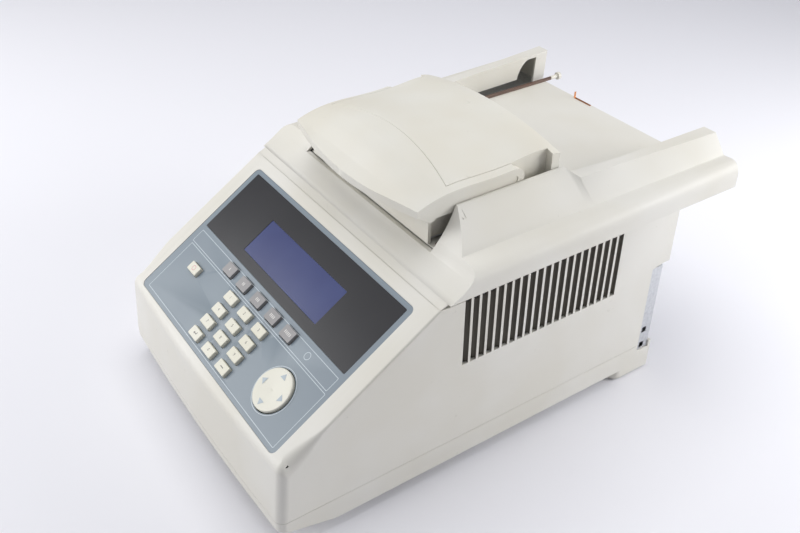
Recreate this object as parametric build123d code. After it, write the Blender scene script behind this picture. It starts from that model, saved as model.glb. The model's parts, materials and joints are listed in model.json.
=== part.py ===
from build123d import *
import os
from math import cos, radians, sin, tan

os.makedirs("parts", exist_ok=True)

# Thermal cycler, in millimetres. X runs to the user's right, Y to the rear and Z up.
# Everything is drawn with Y = 0 at the nose and Z = 0 on the bench, and centred on its box when written.

# Clearances
seat_gap = 0.3
slide_gap = 0.3
key_gap = 0.4
shaft_gap = 0.05

# Base
base_width = 318.0
base_depth = 437.0
wall = 3.0
corner_radius = 9.0
front_bow = 4.5
seam_height = 36.0
seam_gap = 0.4
pan_clearance = 12.0
pan_front_height = 27.5
pan_bevel_length = 58.0
nose_height = 92.0
nose_lean = 5.5
panel_slope = 32.5
slope_length = 184.0
band_height = 6.0
band_inset = 6.5
band_start = 186.5
ledge_width = 19.0
side_step_height = 134.0
side_step_depth = 415.0
side_step_mid = 430.5

# Louvres
louver_count = 21
louver_pitch = 8.62
louver_width = 4.8
louver_first = 189.5
louver_bottom = 122.0

# Feet
foot_radius = 11.0
foot_pad_height = 3.0
front_foot_x = 118.0
front_foot_y = 78.0
lug_front = 384.0
lug_width = 30.0
lug_radius = 12.0
lug_notch_height = 28.0
lug_lip = 3.0
lug_top_gap = 0.3
post_inset = 19.0
post_y = 65.0
post_radius = 4.0

# Control panel, placed up the slope from the nose crease
overlay_width = 278.0
overlay_height = 163.5
overlay_bottom = 9.2
overlay_radius = 5.8
overlay_thickness = 0.8
overlay_depth = 1.2
window_width = 265.4
window_height = 73.0
window_bottom = 94.9
lcd_width = 136.0
lcd_height = 39.0
lcd_x = 2.4
lcd_bottom = 105.5
lcd_sink = 0.7
key_width = 17.4
key_height = 9.65
key_columns = (-26.3, 2.0, 30.0)
key_rows = (66.2, 51.0, 36.3, 21.2)
key_rise = 3.0
key_travel = 1.2
key_flange = 1.0
key_flange_thickness = 1.2
stop_key_x = -94.5
stop_key_s = 58.3
soft_width = 16.4
soft_height = 11.6
soft_rise = 2.4
soft_gap = 0.9
soft_first = -56.0
soft_pitch = 28.4
soft_s = 83.4
pad_x = 90.6
pad_s = 43.0
pad_radius = 20.2
pad_gap = 0.9
pad_rise = 2.2
pad_dish = 0.6
pad_rim = 2.6
pad_skirt = 1.2
pad_hub = 2.5
hub_wall = 0.75
tilt_pin_radius = 0.8
upper_pin_depth = 3.0
lower_pin_depth = 6.2
pin_half_length = 5.0
cheek_thickness = 1.6
cheek_clear = 0.6
mat_thickness = 1.2
board_thickness = 1.6
standoff_radius = 3.0

# Chassis and what it carries
sheet = 1.5
rear_panel_y = 430.6
hook_height = 6.5
psu_width = 104.0
psu_length = 170.0
psu_height = 58.0
board_width = 144.0
board_length = 190.0
fan_size = 80.0
fan_depth = 25.0
fan_bore = 75.0
fan_hub = 34.0
fan_shaft = 4.0
fan_blades = 7
base_fan_x = 62.0
base_fan_z = 72.0
module_fan_y = 330.0
inlet_width = 48.0
inlet_height = 28.0
inlet_x = -104.0
inlet_z = 64.0
switch_width = 21.0
switch_height = 15.0
switch_x = -64.0
rocker_throw = 14.0
fuse_x = -36.0
serial_x = -2.0

# Sample module, the slide-on top of the base
module_rear = 508.5
module_wall = 2.8
wing_inner_x = 101.3
wing_draft = 3.5
wing_top = 242.2
wing_low_top = 235.8
wing_valley_x = 135.1
wing_valley_z = 215.2
wing_outer_x = 162.1
wing_bottom = 194.5
rear_crest_x = 128.3
rear_crest_z = 237.9
rear_inner_x = 113.9
rear_valley_x = 142.8
rear_valley_z = 220.0
rear_outer_x = 163.1
rear_bumper_z = 221.0
crest_end = 335.8
facet_end = 343.5
kink_y = 394.7
kink_x = 109.5
rim_half_width = 105.6
rim_height = 207.0
rim_y = 189.6
deck_top = 207.5
deck_thickness = 2.5
deck_rear = 498.0
deck_half_width = 104.0
slot_top = 212.2
slot_front = 205.0
tray_flange = 2.0
tray_half_width = 75.0
tray_front = 196.0
tray_rear = 396.0
tray_bottom = 118.5
rail_width = 3.6
rail_height = 2.8
rail_screw_length = 11.0

# Sample block and the heat pump under it
well_pitch = 9.0
well_columns = 12
well_rows = 8
well_top_radius = 3.1
well_bottom_radius = 1.5
well_depth = 14.5
well_sides = 8
block_width = 118.0
block_depth = 80.0
block_height = 24.0
block_centre_y = 268.0
block_rise = 0.5
tile_size = 36.0
tile_thickness = 3.6
sink_base = 9.0
fin_height = 36.0
fin_count = 15
fin_thickness = 1.6

# Heated cover
cover_rear = 332.0
cover_half_width = 100.4
cover_core_half_width = 92.6
cover_wall = 2.8
cover_edge_z = 255.3
crown_front = 16.2
crown_rear = 11.8
cover_travel = 150.0
cover_front_y = 195.5
rear_panel_depth = 9.0
carriage_thickness = 1.5
ear_length = 24.0
ear_places = (216.0, 300.0)
nose_side_y = 178.8
nose_bulge = 12.0
lip_bottom = 232.0
lip_back_y = 192.0
nose_line_z = 243.0
groove_gap = 0.8
groove_lean = 0.66
groove_centre_y = 222.0
lever_clear = 1.2
lever_wall = 2.8
arm_pivot_y = 282.0
arm_pivot_z = 245.0
arm_end_radius = 10.0
pin_radius = 3.0
platen_lift = 5.0
guide_radius = 4.0
guide_grip = 5.0
guide_x = 48.0
guide_y = 30.0
sleeve_wall = 3.0
platen_width = 122.0
platen_depth = 84.0
platen_thickness = 7.0
plate_bay_height = 8.5

# Derived places
panel_sin = sin(radians(panel_slope))
panel_cos = cos(radians(panel_slope))
shoulder_y = nose_lean + slope_length * panel_cos
shoulder_z = nose_height + slope_length * panel_sin
band_top = shoulder_z + band_height
half_width = base_width / 2
centre_y = (module_rear + rail_screw_length) / 2
pan_rear = rear_panel_y + seat_gap + wall
module_fan_z = tray_bottom + sheet + fan_size / 2
slope_plane = Plane(
    origin=(0, nose_lean, nose_height), x_dir=(1, 0, 0), z_dir=(0, -panel_sin, panel_cos)
)
block_top = deck_top + block_rise
carriage_bottom = deck_top + rail_height
platen_bottom = block_top + plate_bay_height
sleeve_low = platen_bottom + platen_thickness + platen_lift + 1.0
slot_rear = ear_places[-1] + ear_length + cover_travel + 18.0
flange_bottom = band_top + seat_gap
flange_top = flange_bottom + tray_flange
key_seat = wall + 0.2
mat_top = wall + key_flange_thickness + key_travel + 0.6


def write(name, solid):
    """Writes one named piece, moved so that the whole object is centred on its box."""
    export_step(Pos(0, -centre_y, 0) * solid, "parts/" + name + ".step")


def block(x_low, x_high, y_low, y_high, z_low, z_high):
    """A box between two corners."""
    size = (x_high - x_low, y_high - y_low, z_high - z_low)
    middle = ((x_low + x_high) / 2, (y_low + y_high) / 2, (z_low + z_high) / 2)
    return Pos(*middle) * Box(*size)


def along_x(points, x_low, x_high):
    """A (y, z) outline carried along X."""
    face = Plane.YZ.offset(x_low) * make_face(Polyline(*points, close=True))
    return extrude(face, x_high - x_low, dir=(1, 0, 0))


def along_y(points, y_low, y_high):
    """An (x, z) outline carried along Y."""
    face = make_face(Polyline(*[(x, y_low, z) for x, z in points], close=True))
    return extrude(face, y_high - y_low, dir=(0, 1, 0))


def mirrored(solid):
    """The piece and its mirror image across the middle plane."""
    return [solid, mirror(solid, Plane.YZ)]


def on_slope(x, s, width, height, low, high, radius):
    """A rounded plate on the control panel, from one height above its surface to another."""
    plate = extrude(RectangleRounded(width, height, radius), high - low)
    return slope_plane * Pos(x, s, low) * plate


def cut_corner_plate(x, s, width, height, low, high, corner):
    """A plate on the control panel whose small corners are cut flat."""
    face = chamfer(Rectangle(width, height).vertices(), corner)
    return slope_plane * Pos(x, s, low) * extrude(face, high - low)


def disc_on_slope(x, s, radius, low, high):
    """A disc on the control panel."""
    return slope_plane * Pos(x, s, low) * extrude(Circle(radius), high - low)


def tube_y(x, z, radius, y_low, y_high):
    """A cylinder along Y."""
    return extrude(Plane((x, y_low, z), z_dir=(0, 1, 0)) * Circle(radius), y_high - y_low)


def tube_x(x_low, x_high, radius):
    """A cylinder along X on the lever's pivot line."""
    return extrude(Plane((x_low, arm_pivot_y, arm_pivot_z), z_dir=(1, 0, 0)) * Circle(radius), x_high - x_low)


def tube_z(x, y, radius, z_low, z_high):
    """An upright cylinder."""
    return Pos(x, y, z_low) * extrude(Circle(radius), z_high - z_low)


def plan_outline(inset, rear):
    """The base seen from above: bowed front, rounded corners, straight sides."""
    side = half_width - inset
    front = front_bow + inset
    left = Line((-side, rear), (-side, front))
    bow = ThreePointArc((-side, front), (0, inset), (side, front))
    right = Line((side, front), (side, rear))
    back = Line((side, rear), (-side, rear))
    face = make_face(Curve() + [left, bow, right, back])
    corners = face.vertices().sort_by(Axis.Y)[:2]
    return fillet(corners, max(corner_radius - inset, 1.0))


def housing_form(inset):
    """The upper housing's block, inset on every closed side, for its outside and its hollow."""
    low = seam_height - (1.0 if inset else 0.0)
    rise = shoulder_z + 30.0 - low
    lean = nose_lean / (nose_height - seam_height)
    start = Pos(0, (low - seam_height) * lean, low) * plan_outline(inset, base_depth + 60.0)
    sheared = extrude(start, rise * (1 + lean ** 2) ** 0.5, dir=(0, lean, 1))
    drop = inset / panel_cos
    ahead = 20.0
    foot = nose_height - drop - (nose_lean + ahead) * tan(radians(panel_slope))
    top = shoulder_z - inset
    crest_y = nose_lean + (top - nose_height + drop) / tan(radians(panel_slope))
    rear = 5.0 if inset else 0.0
    profile = [
        (-ahead, low), (-ahead, foot), (crest_y, top),
        (base_depth + rear, top), (base_depth + rear, side_step_height - inset),
        (side_step_mid + rear, side_step_height - inset),
        (side_step_depth + rear, side_step_height - inset - 3.0), (side_step_depth + rear, low),
    ]
    if inset:
        profile = [(-ahead, low), (-ahead, foot), (crest_y, top),
                   (base_depth + rear, top), (base_depth + rear, low)]
    return sheared & along_x(profile, -half_width, half_width)


def make_upper_housing():
    """Nose, panel slope and louvred sides in one moulding, open below and at the rear."""
    edge = half_width
    top = edge - band_inset
    band = along_y(
        [(-edge, shoulder_z - 12.0), (-edge, shoulder_z), (-top, band_top), (top, band_top),
         (edge, shoulder_z), (edge, shoulder_z - 12.0)],
        band_start, base_depth,
    )
    outside = housing_form(0.0)
    crease = outside.edges().filter_by(
        lambda e: abs(e.center().Z - nose_height) < 4.0 and abs(e.center().X) < 20.0
    )
    outside = fillet(crease, 12.0)
    outside = outside + band
    hollow = housing_form(wall)
    inner = edge - wall
    hollow_top = top - wall * 0.6
    hollow = hollow + along_y(
        [(-inner, shoulder_z - 14.0), (-inner, shoulder_z - 1.2), (-hollow_top, band_top - wall),
         (hollow_top, band_top - wall), (inner, shoulder_z - 1.2), (inner, shoulder_z - 14.0)],
        band_start + wall, base_depth + 5.0,
    )
    mouth = edge - ledge_width
    opening = block(-mouth, mouth, shoulder_y + 8.0, base_depth + 5.0, shoulder_z - wall - 1, band_top + 5)
    shell = outside - hollow - opening
    slot = block(
        -edge - 1, edge + 1, -louver_width / 2, louver_width / 2, louver_bottom, band_top + 1.0
    ) - block(-mouth - 2, mouth + 2, -5, 5, louver_bottom - 1, band_top + 5)
    slots = [Pos(0, louver_first + louver_pitch * i, 0) * slot for i in range(louver_count)]
    shell = shell - slots
    post_z = nose_height + (post_y - nose_lean) * tan(radians(panel_slope))
    for piece in mirrored(tube_z(half_width - post_inset, post_y, post_radius, pan_clearance + wall, post_z - 6)):
        shell = shell + piece
    return shell - panel_cuts()


def key_places():
    """Every square key: name, place on the slope, width, height, rise and gap in its well."""
    names = ("1", "2", "3", "4", "5", "6", "7", "8", "9", "enter", "0", "clear")
    places = []
    for row, s in enumerate(key_rows):
        for column, x in enumerate(key_columns):
            name = "key_" + names[row * len(key_columns) + column]
            places.append((name, x, s, key_width, key_height, key_rise, key_gap))
    places.append(("key_stop", stop_key_x, stop_key_s, key_width, key_height, key_rise, key_gap))
    for i in range(5):
        x = soft_first + soft_pitch * i
        name = "soft_key_" + str(i + 1)
        places.append((name, x, soft_s, soft_width, soft_height, soft_rise, soft_gap))
    return places


def key_wells():
    """The openings that the keys and the arrow pad stand in."""
    wells = []
    for _, x, s, width, height, _, gap in key_places():
        wells.append(cut_corner_plate(x, s, width + 2 * gap, height + 2 * gap, -wall - 1, 1, 0.8))
    wells.append(disc_on_slope(pad_x, pad_s, pad_radius + pad_gap, -wall - 1, 1))
    return wells


def panel_cuts():
    """What the slope loses: the overlay's recess, the display opening and the wells."""
    play = 0.3
    recess = on_slope(
        0, overlay_bottom + overlay_height / 2, overlay_width + play, overlay_height + play,
        -overlay_depth, 2, overlay_radius,
    )
    display = on_slope(
        lcd_x, lcd_bottom + lcd_height / 2, lcd_width + play, lcd_height + play, -wall - 1, 1, 1.0
    )
    return [recess, display] + key_wells()


def make_overlay():
    """The blue-grey panel sheet, with openings for the window, keys and pad."""
    top = -overlay_depth + overlay_thickness
    sheet_face = on_slope(
        0, overlay_bottom + overlay_height / 2, overlay_width, overlay_height,
        -overlay_depth, top, overlay_radius,
    )
    window = on_slope(
        0, window_bottom + window_height / 2, window_width + 0.3, window_height + 0.3,
        -wall, 1, 1.5,
    )
    return sheet_face - window - key_wells()


def make_window():
    """The black display surround, open where the LCD glass sits."""
    plate = on_slope(
        0, window_bottom + window_height / 2, window_width, window_height,
        -overlay_depth, -overlay_depth + overlay_thickness, 1.5,
    )
    opening = on_slope(
        lcd_x, lcd_bottom + lcd_height / 2, lcd_width + 0.3, lcd_height + 0.3, -wall, 1, 0.8
    )
    return plate - opening


def make_lcd_glass():
    """The display's glass, standing on the display board."""
    return on_slope(
        lcd_x, lcd_bottom + lcd_height / 2, lcd_width, lcd_height, -wall, -lcd_sink, 0.5
    )


def make_display_board():
    """Display board with its metal frame and a driver connector, pressed to the housing's inside."""
    middle = lcd_bottom + lcd_height / 2
    frame = on_slope(lcd_x, middle, lcd_width + 24, lcd_height + 20, -wall - 7, -wall, 2.0)
    board = on_slope(lcd_x, middle, lcd_width + 40, lcd_height + 24, -wall - 8.6, -wall - 7, 1.0)
    plug = on_slope(lcd_x - 40, middle, 44, 6, -wall - 14, -wall - 8.6, 0.5)
    return frame + board + plug


def make_key(x, s, width, height, rise):
    """A key cap with a flange that keeps it behind the panel."""
    cap = cut_corner_plate(x, s, width, height, -key_seat, rise, 0.7)
    top_edges = cap.faces().sort_by(lambda f: f.center().Z)[-1].edges()
    cap = chamfer(top_edges, 0.5)
    flange = cut_corner_plate(
        x, s, width + 2 * key_flange, height + 2 * key_flange,
        -key_seat - key_flange_thickness, -key_seat, 0.7,
    )
    return cap + flange


def tilt_pin(along_panel, depth, radius):
    """A pin under the arrow pad, across the panel or up it, at one depth below the surface."""
    turn = Rot(0, 90, 0) if along_panel else Rot(90, 0, 0)
    pin = Cylinder(radius, 2 * pin_half_length)
    return slope_plane * Pos(pad_x, pad_s, -depth) * turn * pin


def make_arrow_pad():
    """The four-way disc, dished a little, with a bored hub that rocks on the upper pin."""
    disc = disc_on_slope(pad_x, pad_s, pad_radius, -pad_skirt, pad_rise)
    rim = disc.faces().sort_by(lambda f: f.center().Z)[-1].edges()
    disc = chamfer(rim, 0.7)
    dish = Cone(0.0, pad_radius - pad_rim, pad_dish)
    dish = slope_plane * Pos(pad_x, pad_s, pad_rise - pad_dish / 2) * dish
    hub = disc_on_slope(
        pad_x, pad_s, pad_hub, -upper_pin_depth - tilt_pin_radius - hub_wall, -pad_skirt
    )
    return disc + hub - dish - tilt_pin(False, upper_pin_depth, tilt_pin_radius + shaft_gap)


def make_arrow_ball():
    """The rocking block under the pad: an upper pin that holds its hub, and a lower cross pin."""
    cheeks = [
        slope_plane * Pos(pad_x, pad_s + side * (pin_half_length - cheek_thickness / 2),
                          -(upper_pin_depth + lower_pin_depth) / 2)
        * Box(2 * tilt_pin_radius, cheek_thickness, lower_pin_depth - upper_pin_depth)
        for side in (-1, 1)
    ]
    foot = slope_plane * Pos(pad_x, pad_s, -lower_pin_depth) * Box(
        2 * tilt_pin_radius, 2 * pin_half_length, tilt_pin_radius
    )
    pins = tilt_pin(False, upper_pin_depth, tilt_pin_radius) + tilt_pin(True, lower_pin_depth, tilt_pin_radius)
    return pins + foot + cheeks[0] + cheeks[1]


def make_keypad_board():
    """Keypad board with the fork that holds the arrow pad's lower pin."""
    low = -mat_top - mat_thickness - board_thickness
    board = cut_corner_plate(0, 48.0, 252.0, 80.0, low, low + board_thickness, 1.0)
    bore = tilt_pin(True, lower_pin_depth, tilt_pin_radius + shaft_gap)
    height = tilt_pin_radius + cheek_clear - lower_pin_depth - low - board_thickness
    for side in (-1, 1):
        x = pad_x + side * (pin_half_length - cheek_thickness / 2)
        cheek = Box(cheek_thickness, 4 * tilt_pin_radius, height)
        board = board + slope_plane * Pos(x, pad_s, low + board_thickness + height / 2) * cheek
    return board - bore


def standoff_places():
    """Where the keypad board's six standoffs are on the panel."""
    return [(-122.0, 13.0), (-122.0, 78.0), (-70.0, 13.0), (56.0, 13.0), (122.0, 13.0), (122.0, 78.0)]


def make_keypad_standoffs():
    """Six standoffs between the keypad board and the panel."""
    low = -mat_top - mat_thickness
    posts = [disc_on_slope(x, s, standoff_radius, low, -wall) for x, s in standoff_places()]
    return Compound(children=posts)


def make_keypad_mat():
    """Silicone mat on the keypad board, cut round the standoffs and the pad's fork."""
    low = -mat_top - mat_thickness
    mat = cut_corner_plate(-14.0, 51.0, 190.0, 72.0, low, -mat_top, 2.0)
    cuts = [disc_on_slope(pad_x, pad_s, 12.0, low - 1, 1)]
    for x, s in standoff_places():
        cuts.append(disc_on_slope(x, s, standoff_radius + 1.0, low - 1, 1))
    return mat - cuts


def make_base_pan():
    """The lower tray: bevelled front underside, side skirts and rear foot lugs."""
    top = seam_height - seam_gap
    outline = plan_outline(0.0, pan_rear)
    tray = Pos(0, 0, pan_clearance) * extrude(outline, top - pan_clearance)
    bevel = along_x(
        [(-5, pan_clearance - 5), (-5, pan_front_height), (0, pan_front_height),
         (pan_bevel_length, pan_clearance), (pan_bevel_length, pan_clearance - 5)],
        -half_width - 5, half_width + 5,
    )
    tray = tray - bevel
    inside = plan_outline(wall, pan_rear - wall)
    cavity = Pos(0, 0, pan_clearance + wall) * extrude(inside, seam_height)
    slope_in = along_x(
        [(-5, pan_clearance), (-5, pan_front_height + wall), (0, pan_front_height + wall),
         (pan_bevel_length + 2, pan_clearance + wall), (pan_bevel_length + 2, pan_clearance)],
        -half_width - 5, half_width + 5,
    )
    tray = tray - (cavity - slope_in)
    notch = block(-half_width - 5, half_width + 5, side_step_depth, pan_rear - lug_lip,
                  lug_notch_height, seam_height + 5)
    rear_cut = block(-half_width + 24, half_width - 24, rear_panel_y - 5, pan_rear + 5,
                     lug_notch_height, seam_height + 5)
    lug = block(half_width - lug_width, half_width, lug_front, pan_rear,
                foot_pad_height - 1.0, pan_clearance + 1)
    lug = fillet(lug.edges().filter_by(Axis.Z).sort_by(Axis.Y)[:2], lug_radius)
    boss = tube_z(front_foot_x, front_foot_y, foot_radius + 3.0, foot_pad_height, pan_clearance + 1)
    tray = tray - notch - rear_cut
    for piece in mirrored(lug) + mirrored(boss):
        tray = tray + piece
    pockets = [tube_z(x, y, foot_radius + 0.1, 0, foot_pad_height + 1.5) for x, y in foot_places()]
    return tray - pockets


def foot_places():
    """Where the four rubber feet are."""
    rear_x = half_width - lug_width / 2
    rear_y = (lug_front + rear_panel_y) / 2
    places = []
    for side in (-1, 1):
        places.append((side * front_foot_x, front_foot_y))
        places.append((side * rear_x, rear_y))
    return places


def make_feet():
    """Four rubber feet, each a disc with a chamfered tread."""
    feet = []
    for x, y in foot_places():
        foot = tube_z(x, y, foot_radius, 0, foot_pad_height + 1.5)
        foot = chamfer(foot.edges().sort_by(Axis.Z)[0], 0.8)
        feet.append(foot)
    return Compound(children=feet)


def make_chassis():
    """Folded sheet floor and side walls inside the base, slotted behind the louvres."""
    inner = half_width - wall - 5.0
    low = pan_clearance + wall
    rear = rear_panel_y - sheet - seat_gap
    floor = block(-inner, inner, post_y + post_radius + 3, rear, low, low + sheet)
    side = block(inner - sheet, inner, 176.0, rear, low, tray_bottom - 3.0)
    windows = [
        block(inner - 5, inner + 5, y, y + 26.0, 60.0, 100.0) for y in (196.0, 240.0, 284.0, 328.0)
    ]
    side = side - windows
    for piece in mirrored(side):
        floor = floor + piece
    return floor


def make_rear_panel():
    """Sheet-metal back with folded side returns, connector cut-outs and a fan grille."""
    edge = half_width - 1.5
    upper = half_width - wall - seat_gap
    back = rear_panel_y - sheet
    low = pan_clearance + wall
    fold = side_step_height - 4.0
    plate = block(-upper, upper, back, rear_panel_y, low, shoulder_z - wall - seat_gap)
    foot = lug_notch_height + lug_top_gap
    plate = plate + block(-edge, edge, back, rear_panel_y, foot, fold)
    side = block(edge - sheet, edge, side_step_depth + seat_gap, rear_panel_y, foot, fold)
    for z in (30.5, 50.0):
        side = side - block(edge - 5, edge + 5, rear_panel_y - 12, rear_panel_y - 6, z, z + hook_height)
    for piece in mirrored(side):
        plate = plate + piece
    cuts = [
        block(inlet_x - inlet_width / 2, inlet_x + inlet_width / 2, rear_panel_y - 5, rear_panel_y + 5,
              inlet_z - inlet_height / 2, inlet_z + inlet_height / 2),
        block(switch_x - switch_width / 2, switch_x + switch_width / 2, rear_panel_y - 5, rear_panel_y + 5,
              inlet_z - switch_height / 2, inlet_z + switch_height / 2),
        tube_y(fuse_x, inlet_z, 8.0, rear_panel_y - 5, rear_panel_y + 5),
        block(serial_x - 12, serial_x + 12, rear_panel_y - 5, rear_panel_y + 5, inlet_z - 6, inlet_z + 6),
    ]
    step = 7.5
    reach = fan_bore / 2 - 2
    for i in range(-4, 5):
        z = i * step
        half = (reach ** 2 - z ** 2) ** 0.5
        cuts.append(
            block(base_fan_x - half, base_fan_x + half, rear_panel_y - 5, rear_panel_y + 5,
                  base_fan_z + z - 2, base_fan_z + z + 2)
        )
    return plate - cuts


def fan_frame(x, z, y_front):
    """Square fan frame with a round duct, a motor cup on struts and a fixed shaft."""
    half = fan_size / 2
    frame = block(x - half, x + half, y_front, y_front + fan_depth, z - half, z + half)
    frame = frame - tube_y(x, z, fan_bore / 2, y_front - 1, y_front + fan_depth + 1)
    cup = tube_y(x, z, fan_hub / 2, y_front, y_front + 3.0)
    arm_reach = fan_bore / 2 + 1
    arms = block(x - arm_reach, x + arm_reach, y_front, y_front + 3.0, z - 2, z + 2)
    arms = arms + block(x - 2, x + 2, y_front, y_front + 3.0, z - arm_reach, z + arm_reach)
    shaft = tube_y(x, z, fan_shaft / 2, y_front, y_front + fan_depth - 4)
    return frame + cup + arms + shaft


def fan_rotor(x, z, y_front):
    """Hub with a bore for the shaft and swept flat blades."""
    low = y_front + 4.0
    high = y_front + fan_depth - 3.0
    hub = tube_y(x, z, fan_hub / 2, low, high)
    blade = block(fan_hub / 2 - 2, fan_bore / 2 - 1.5, -1.0, 1.0, -7.0, 7.0)
    blade = Rot(28, 0, 0) * blade
    rotor = hub
    for i in range(fan_blades):
        turned = Rot(0, 360.0 / fan_blades * i, 0) * blade
        rotor = rotor + Pos(x, (low + high) / 2, z) * turned
    return rotor - tube_y(x, z, fan_shaft / 2 + shaft_gap, low - 1, high + 1)


def make_power_supply():
    """Boxed power supply with vent slots in its lid."""
    low = pan_clearance + wall + sheet
    left = -half_width + wall + 10.0
    box = block(left, left + psu_width, 120.0, 120.0 + psu_length, low, low + psu_height)
    vents = [
        block(left + 12, left + psu_width - 12, 140.0 + 14.0 * i, 144.0 + 14.0 * i,
              low + psu_height - 2, low + psu_height + 1)
        for i in range(9)
    ]
    return box - vents


def make_main_board():
    """Main board on six standoffs, with a few tall parts and connectors."""
    low = pan_clearance + wall + sheet
    left = 3.0
    front = 150.0
    lift = 8.0
    board = block(left, left + board_width, front, front + board_length, low + lift, low + lift + board_thickness)
    top = low + lift + board_thickness
    for x in (left + 8, left + board_width - 8):
        for y in (front + 8, front + board_length / 2, front + board_length - 8):
            board = board + tube_z(x, y, standoff_radius, low, low + lift)
    chips = ((30, 40, 34, 34, 4), (80, 44, 28, 28, 3), (34, 100, 40, 16, 10), (96, 110, 20, 46, 12))
    for x, y, width, length, height in chips:
        board = board + block(left + x, left + x + width, front + y, front + y + length, top, top + height)
    return board


def make_power_inlet():
    """Three-pin mains inlet set in the rear panel, with its blades."""
    body = block(inlet_x - inlet_width / 2 + 0.2, inlet_x + inlet_width / 2 - 0.2, rear_panel_y - 24,
                 rear_panel_y + 1.0, inlet_z - inlet_height / 2 + 0.2, inlet_z + inlet_height / 2 - 0.2)
    face = block(inlet_x - inlet_width / 2 - 2, inlet_x + inlet_width / 2 + 2, rear_panel_y,
                 rear_panel_y + 2.0, inlet_z - inlet_height / 2 - 2, inlet_z + inlet_height / 2 + 2)
    well = block(inlet_x - 12.5, inlet_x + 12.5, rear_panel_y - 17, rear_panel_y + 5,
                 inlet_z - 8.5, inlet_z + 8.5)
    inlet = body + face - well
    for dx, dz in ((-7, -2.5), (0, 2.5), (7, -2.5)):
        inlet = inlet + block(inlet_x + dx - 1, inlet_x + dx + 1, rear_panel_y - 18, rear_panel_y - 3,
                              inlet_z + dz - 2, inlet_z + dz + 2)
    return inlet


def make_fuse_holder():
    """Round fuse holder with a slotted cap."""
    body = tube_y(fuse_x, inlet_z, 7.8, rear_panel_y - 30, rear_panel_y + 1)
    cap = tube_y(fuse_x, inlet_z, 9.5, rear_panel_y, rear_panel_y + 4)
    slot = block(fuse_x - 6, fuse_x + 6, rear_panel_y + 2.5, rear_panel_y + 5, inlet_z - 0.8, inlet_z + 0.8)
    return body + cap - slot


def make_serial_port():
    """Nine-way serial port with its two jack posts."""
    shapes = ((11.8, 5.8, -10, 1), (16, 6.5, 0, 1.2), (8.5, 4.2, 0, 6), (7.7, 3.4, 1.5, 7))
    body, flange, shell, recess = [
        block(serial_x - half_x, serial_x + half_x, rear_panel_y + low, rear_panel_y + high,
              inlet_z - half_z, inlet_z + half_z)
        for half_x, half_z, low, high in shapes
    ]
    port = body + flange + shell - recess
    for dx in (-12.5, 12.5):
        port = port + tube_y(serial_x + dx, inlet_z, 2.4, rear_panel_y, rear_panel_y + 5)
    return port


def make_switch_frame():
    """Frame that the power rocker turns in, with its pivot pin."""
    half_w = switch_width / 2
    half_h = switch_height / 2
    frame = block(switch_x - half_w + 0.2, switch_x + half_w - 0.2, rear_panel_y - 14, rear_panel_y + 1,
                  inlet_z - half_h + 0.2, inlet_z + half_h - 0.2)
    face = block(switch_x - half_w - 1.5, switch_x + half_w + 1.5, rear_panel_y, rear_panel_y + 1.6,
                 inlet_z - half_h - 1.5, inlet_z + half_h + 1.5)
    well = block(switch_x - half_w + 2, switch_x + half_w - 2, rear_panel_y - 12, rear_panel_y + 5,
                 inlet_z - half_h + 2, inlet_z + half_h - 2)
    pin = extrude(Plane((switch_x, rear_panel_y - 4, inlet_z - half_h + 1)) * Circle(1.2), switch_height - 2)
    return frame + face - well + pin


def make_rocker():
    """Power rocker: a shallow V face on a rounded back, bored for its pin."""
    half_w = switch_width / 2 - 3.4
    half_h = switch_height / 2 - 2.5
    y = rear_panel_y
    outline = [
        (switch_x - half_w, y + 3.2), (switch_x, y + 1.2), (switch_x + half_w, y + 3.2),
        (switch_x + half_w - 1, y - 5.0), (switch_x, y - 8.0), (switch_x - half_w + 1, y - 5.0),
    ]
    face = make_face(Polyline(*outline, close=True))
    body = Pos(0, 0, inlet_z - half_h) * extrude(face, 2 * half_h)
    bore = extrude(Plane((switch_x, y - 4, inlet_z - half_h - 1)) * Circle(1.2 + shaft_gap), switch_height)
    return (body - bore).rotate(Axis((switch_x, y - 4, inlet_z), (0, 0, 1)), -rocker_throw / 2)


def blend(a, b, t):
    """A value part of the way from a to b."""
    return a + (b - a) * t


def wing_points(y, inset):
    """The right wing's cross-section at one depth: crest, slope, valley and rounded bumper."""
    t = (y - shoulder_y) / (module_rear - shoulder_y)
    valley_x = blend(wing_valley_x, rear_valley_x, t)
    valley_z = blend(wing_valley_z, rear_valley_z, t)
    outer_x = blend(wing_outer_x, rear_outer_x, t) - inset
    bumper_z = blend(wing_valley_z - 1.0, rear_bumper_z, t)
    slope = (wing_top - wing_valley_z) / (wing_valley_x - wing_inner_x - 2.0)
    if y <= crest_end:
        top, inner = wing_top, wing_inner_x
        crest = inner + 2.0
    elif y <= kink_y:
        u = (y - facet_end) / (kink_y - facet_end)
        top, inner = wing_low_top, blend(104.2, kink_x, u)
        crest = valley_x - (top - valley_z) / slope
    else:
        u = (y - kink_y) / (module_rear - kink_y)
        top = blend(wing_low_top, rear_crest_z, u)
        inner = blend(kink_x, rear_inner_x, u)
        crest = blend(valley_x - (top - valley_z) / slope, rear_crest_x, u)
    fall = (top - valley_z) / (valley_x - crest)
    lean = (1 + fall ** 2) ** 0.5
    crest_x = max(crest + inset * (1 - lean) / fall, inner + inset + 0.5)
    crest_z = min(top - inset, top - fall * (crest_x - crest) - inset * lean)
    valley_in = valley_x - inset * 0.3
    draft = wing_draft * (top - deck_top) / (wing_top - deck_top)
    return {
        "inner_top": (inner + inset, crest_z), "inner_low": inner + draft + inset,
        "crest": (crest_x, crest_z), "valley": (valley_in, valley_z - inset * 1.1),
        "bumper": bumper_z - inset, "outer": outer_x,
    }


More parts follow.
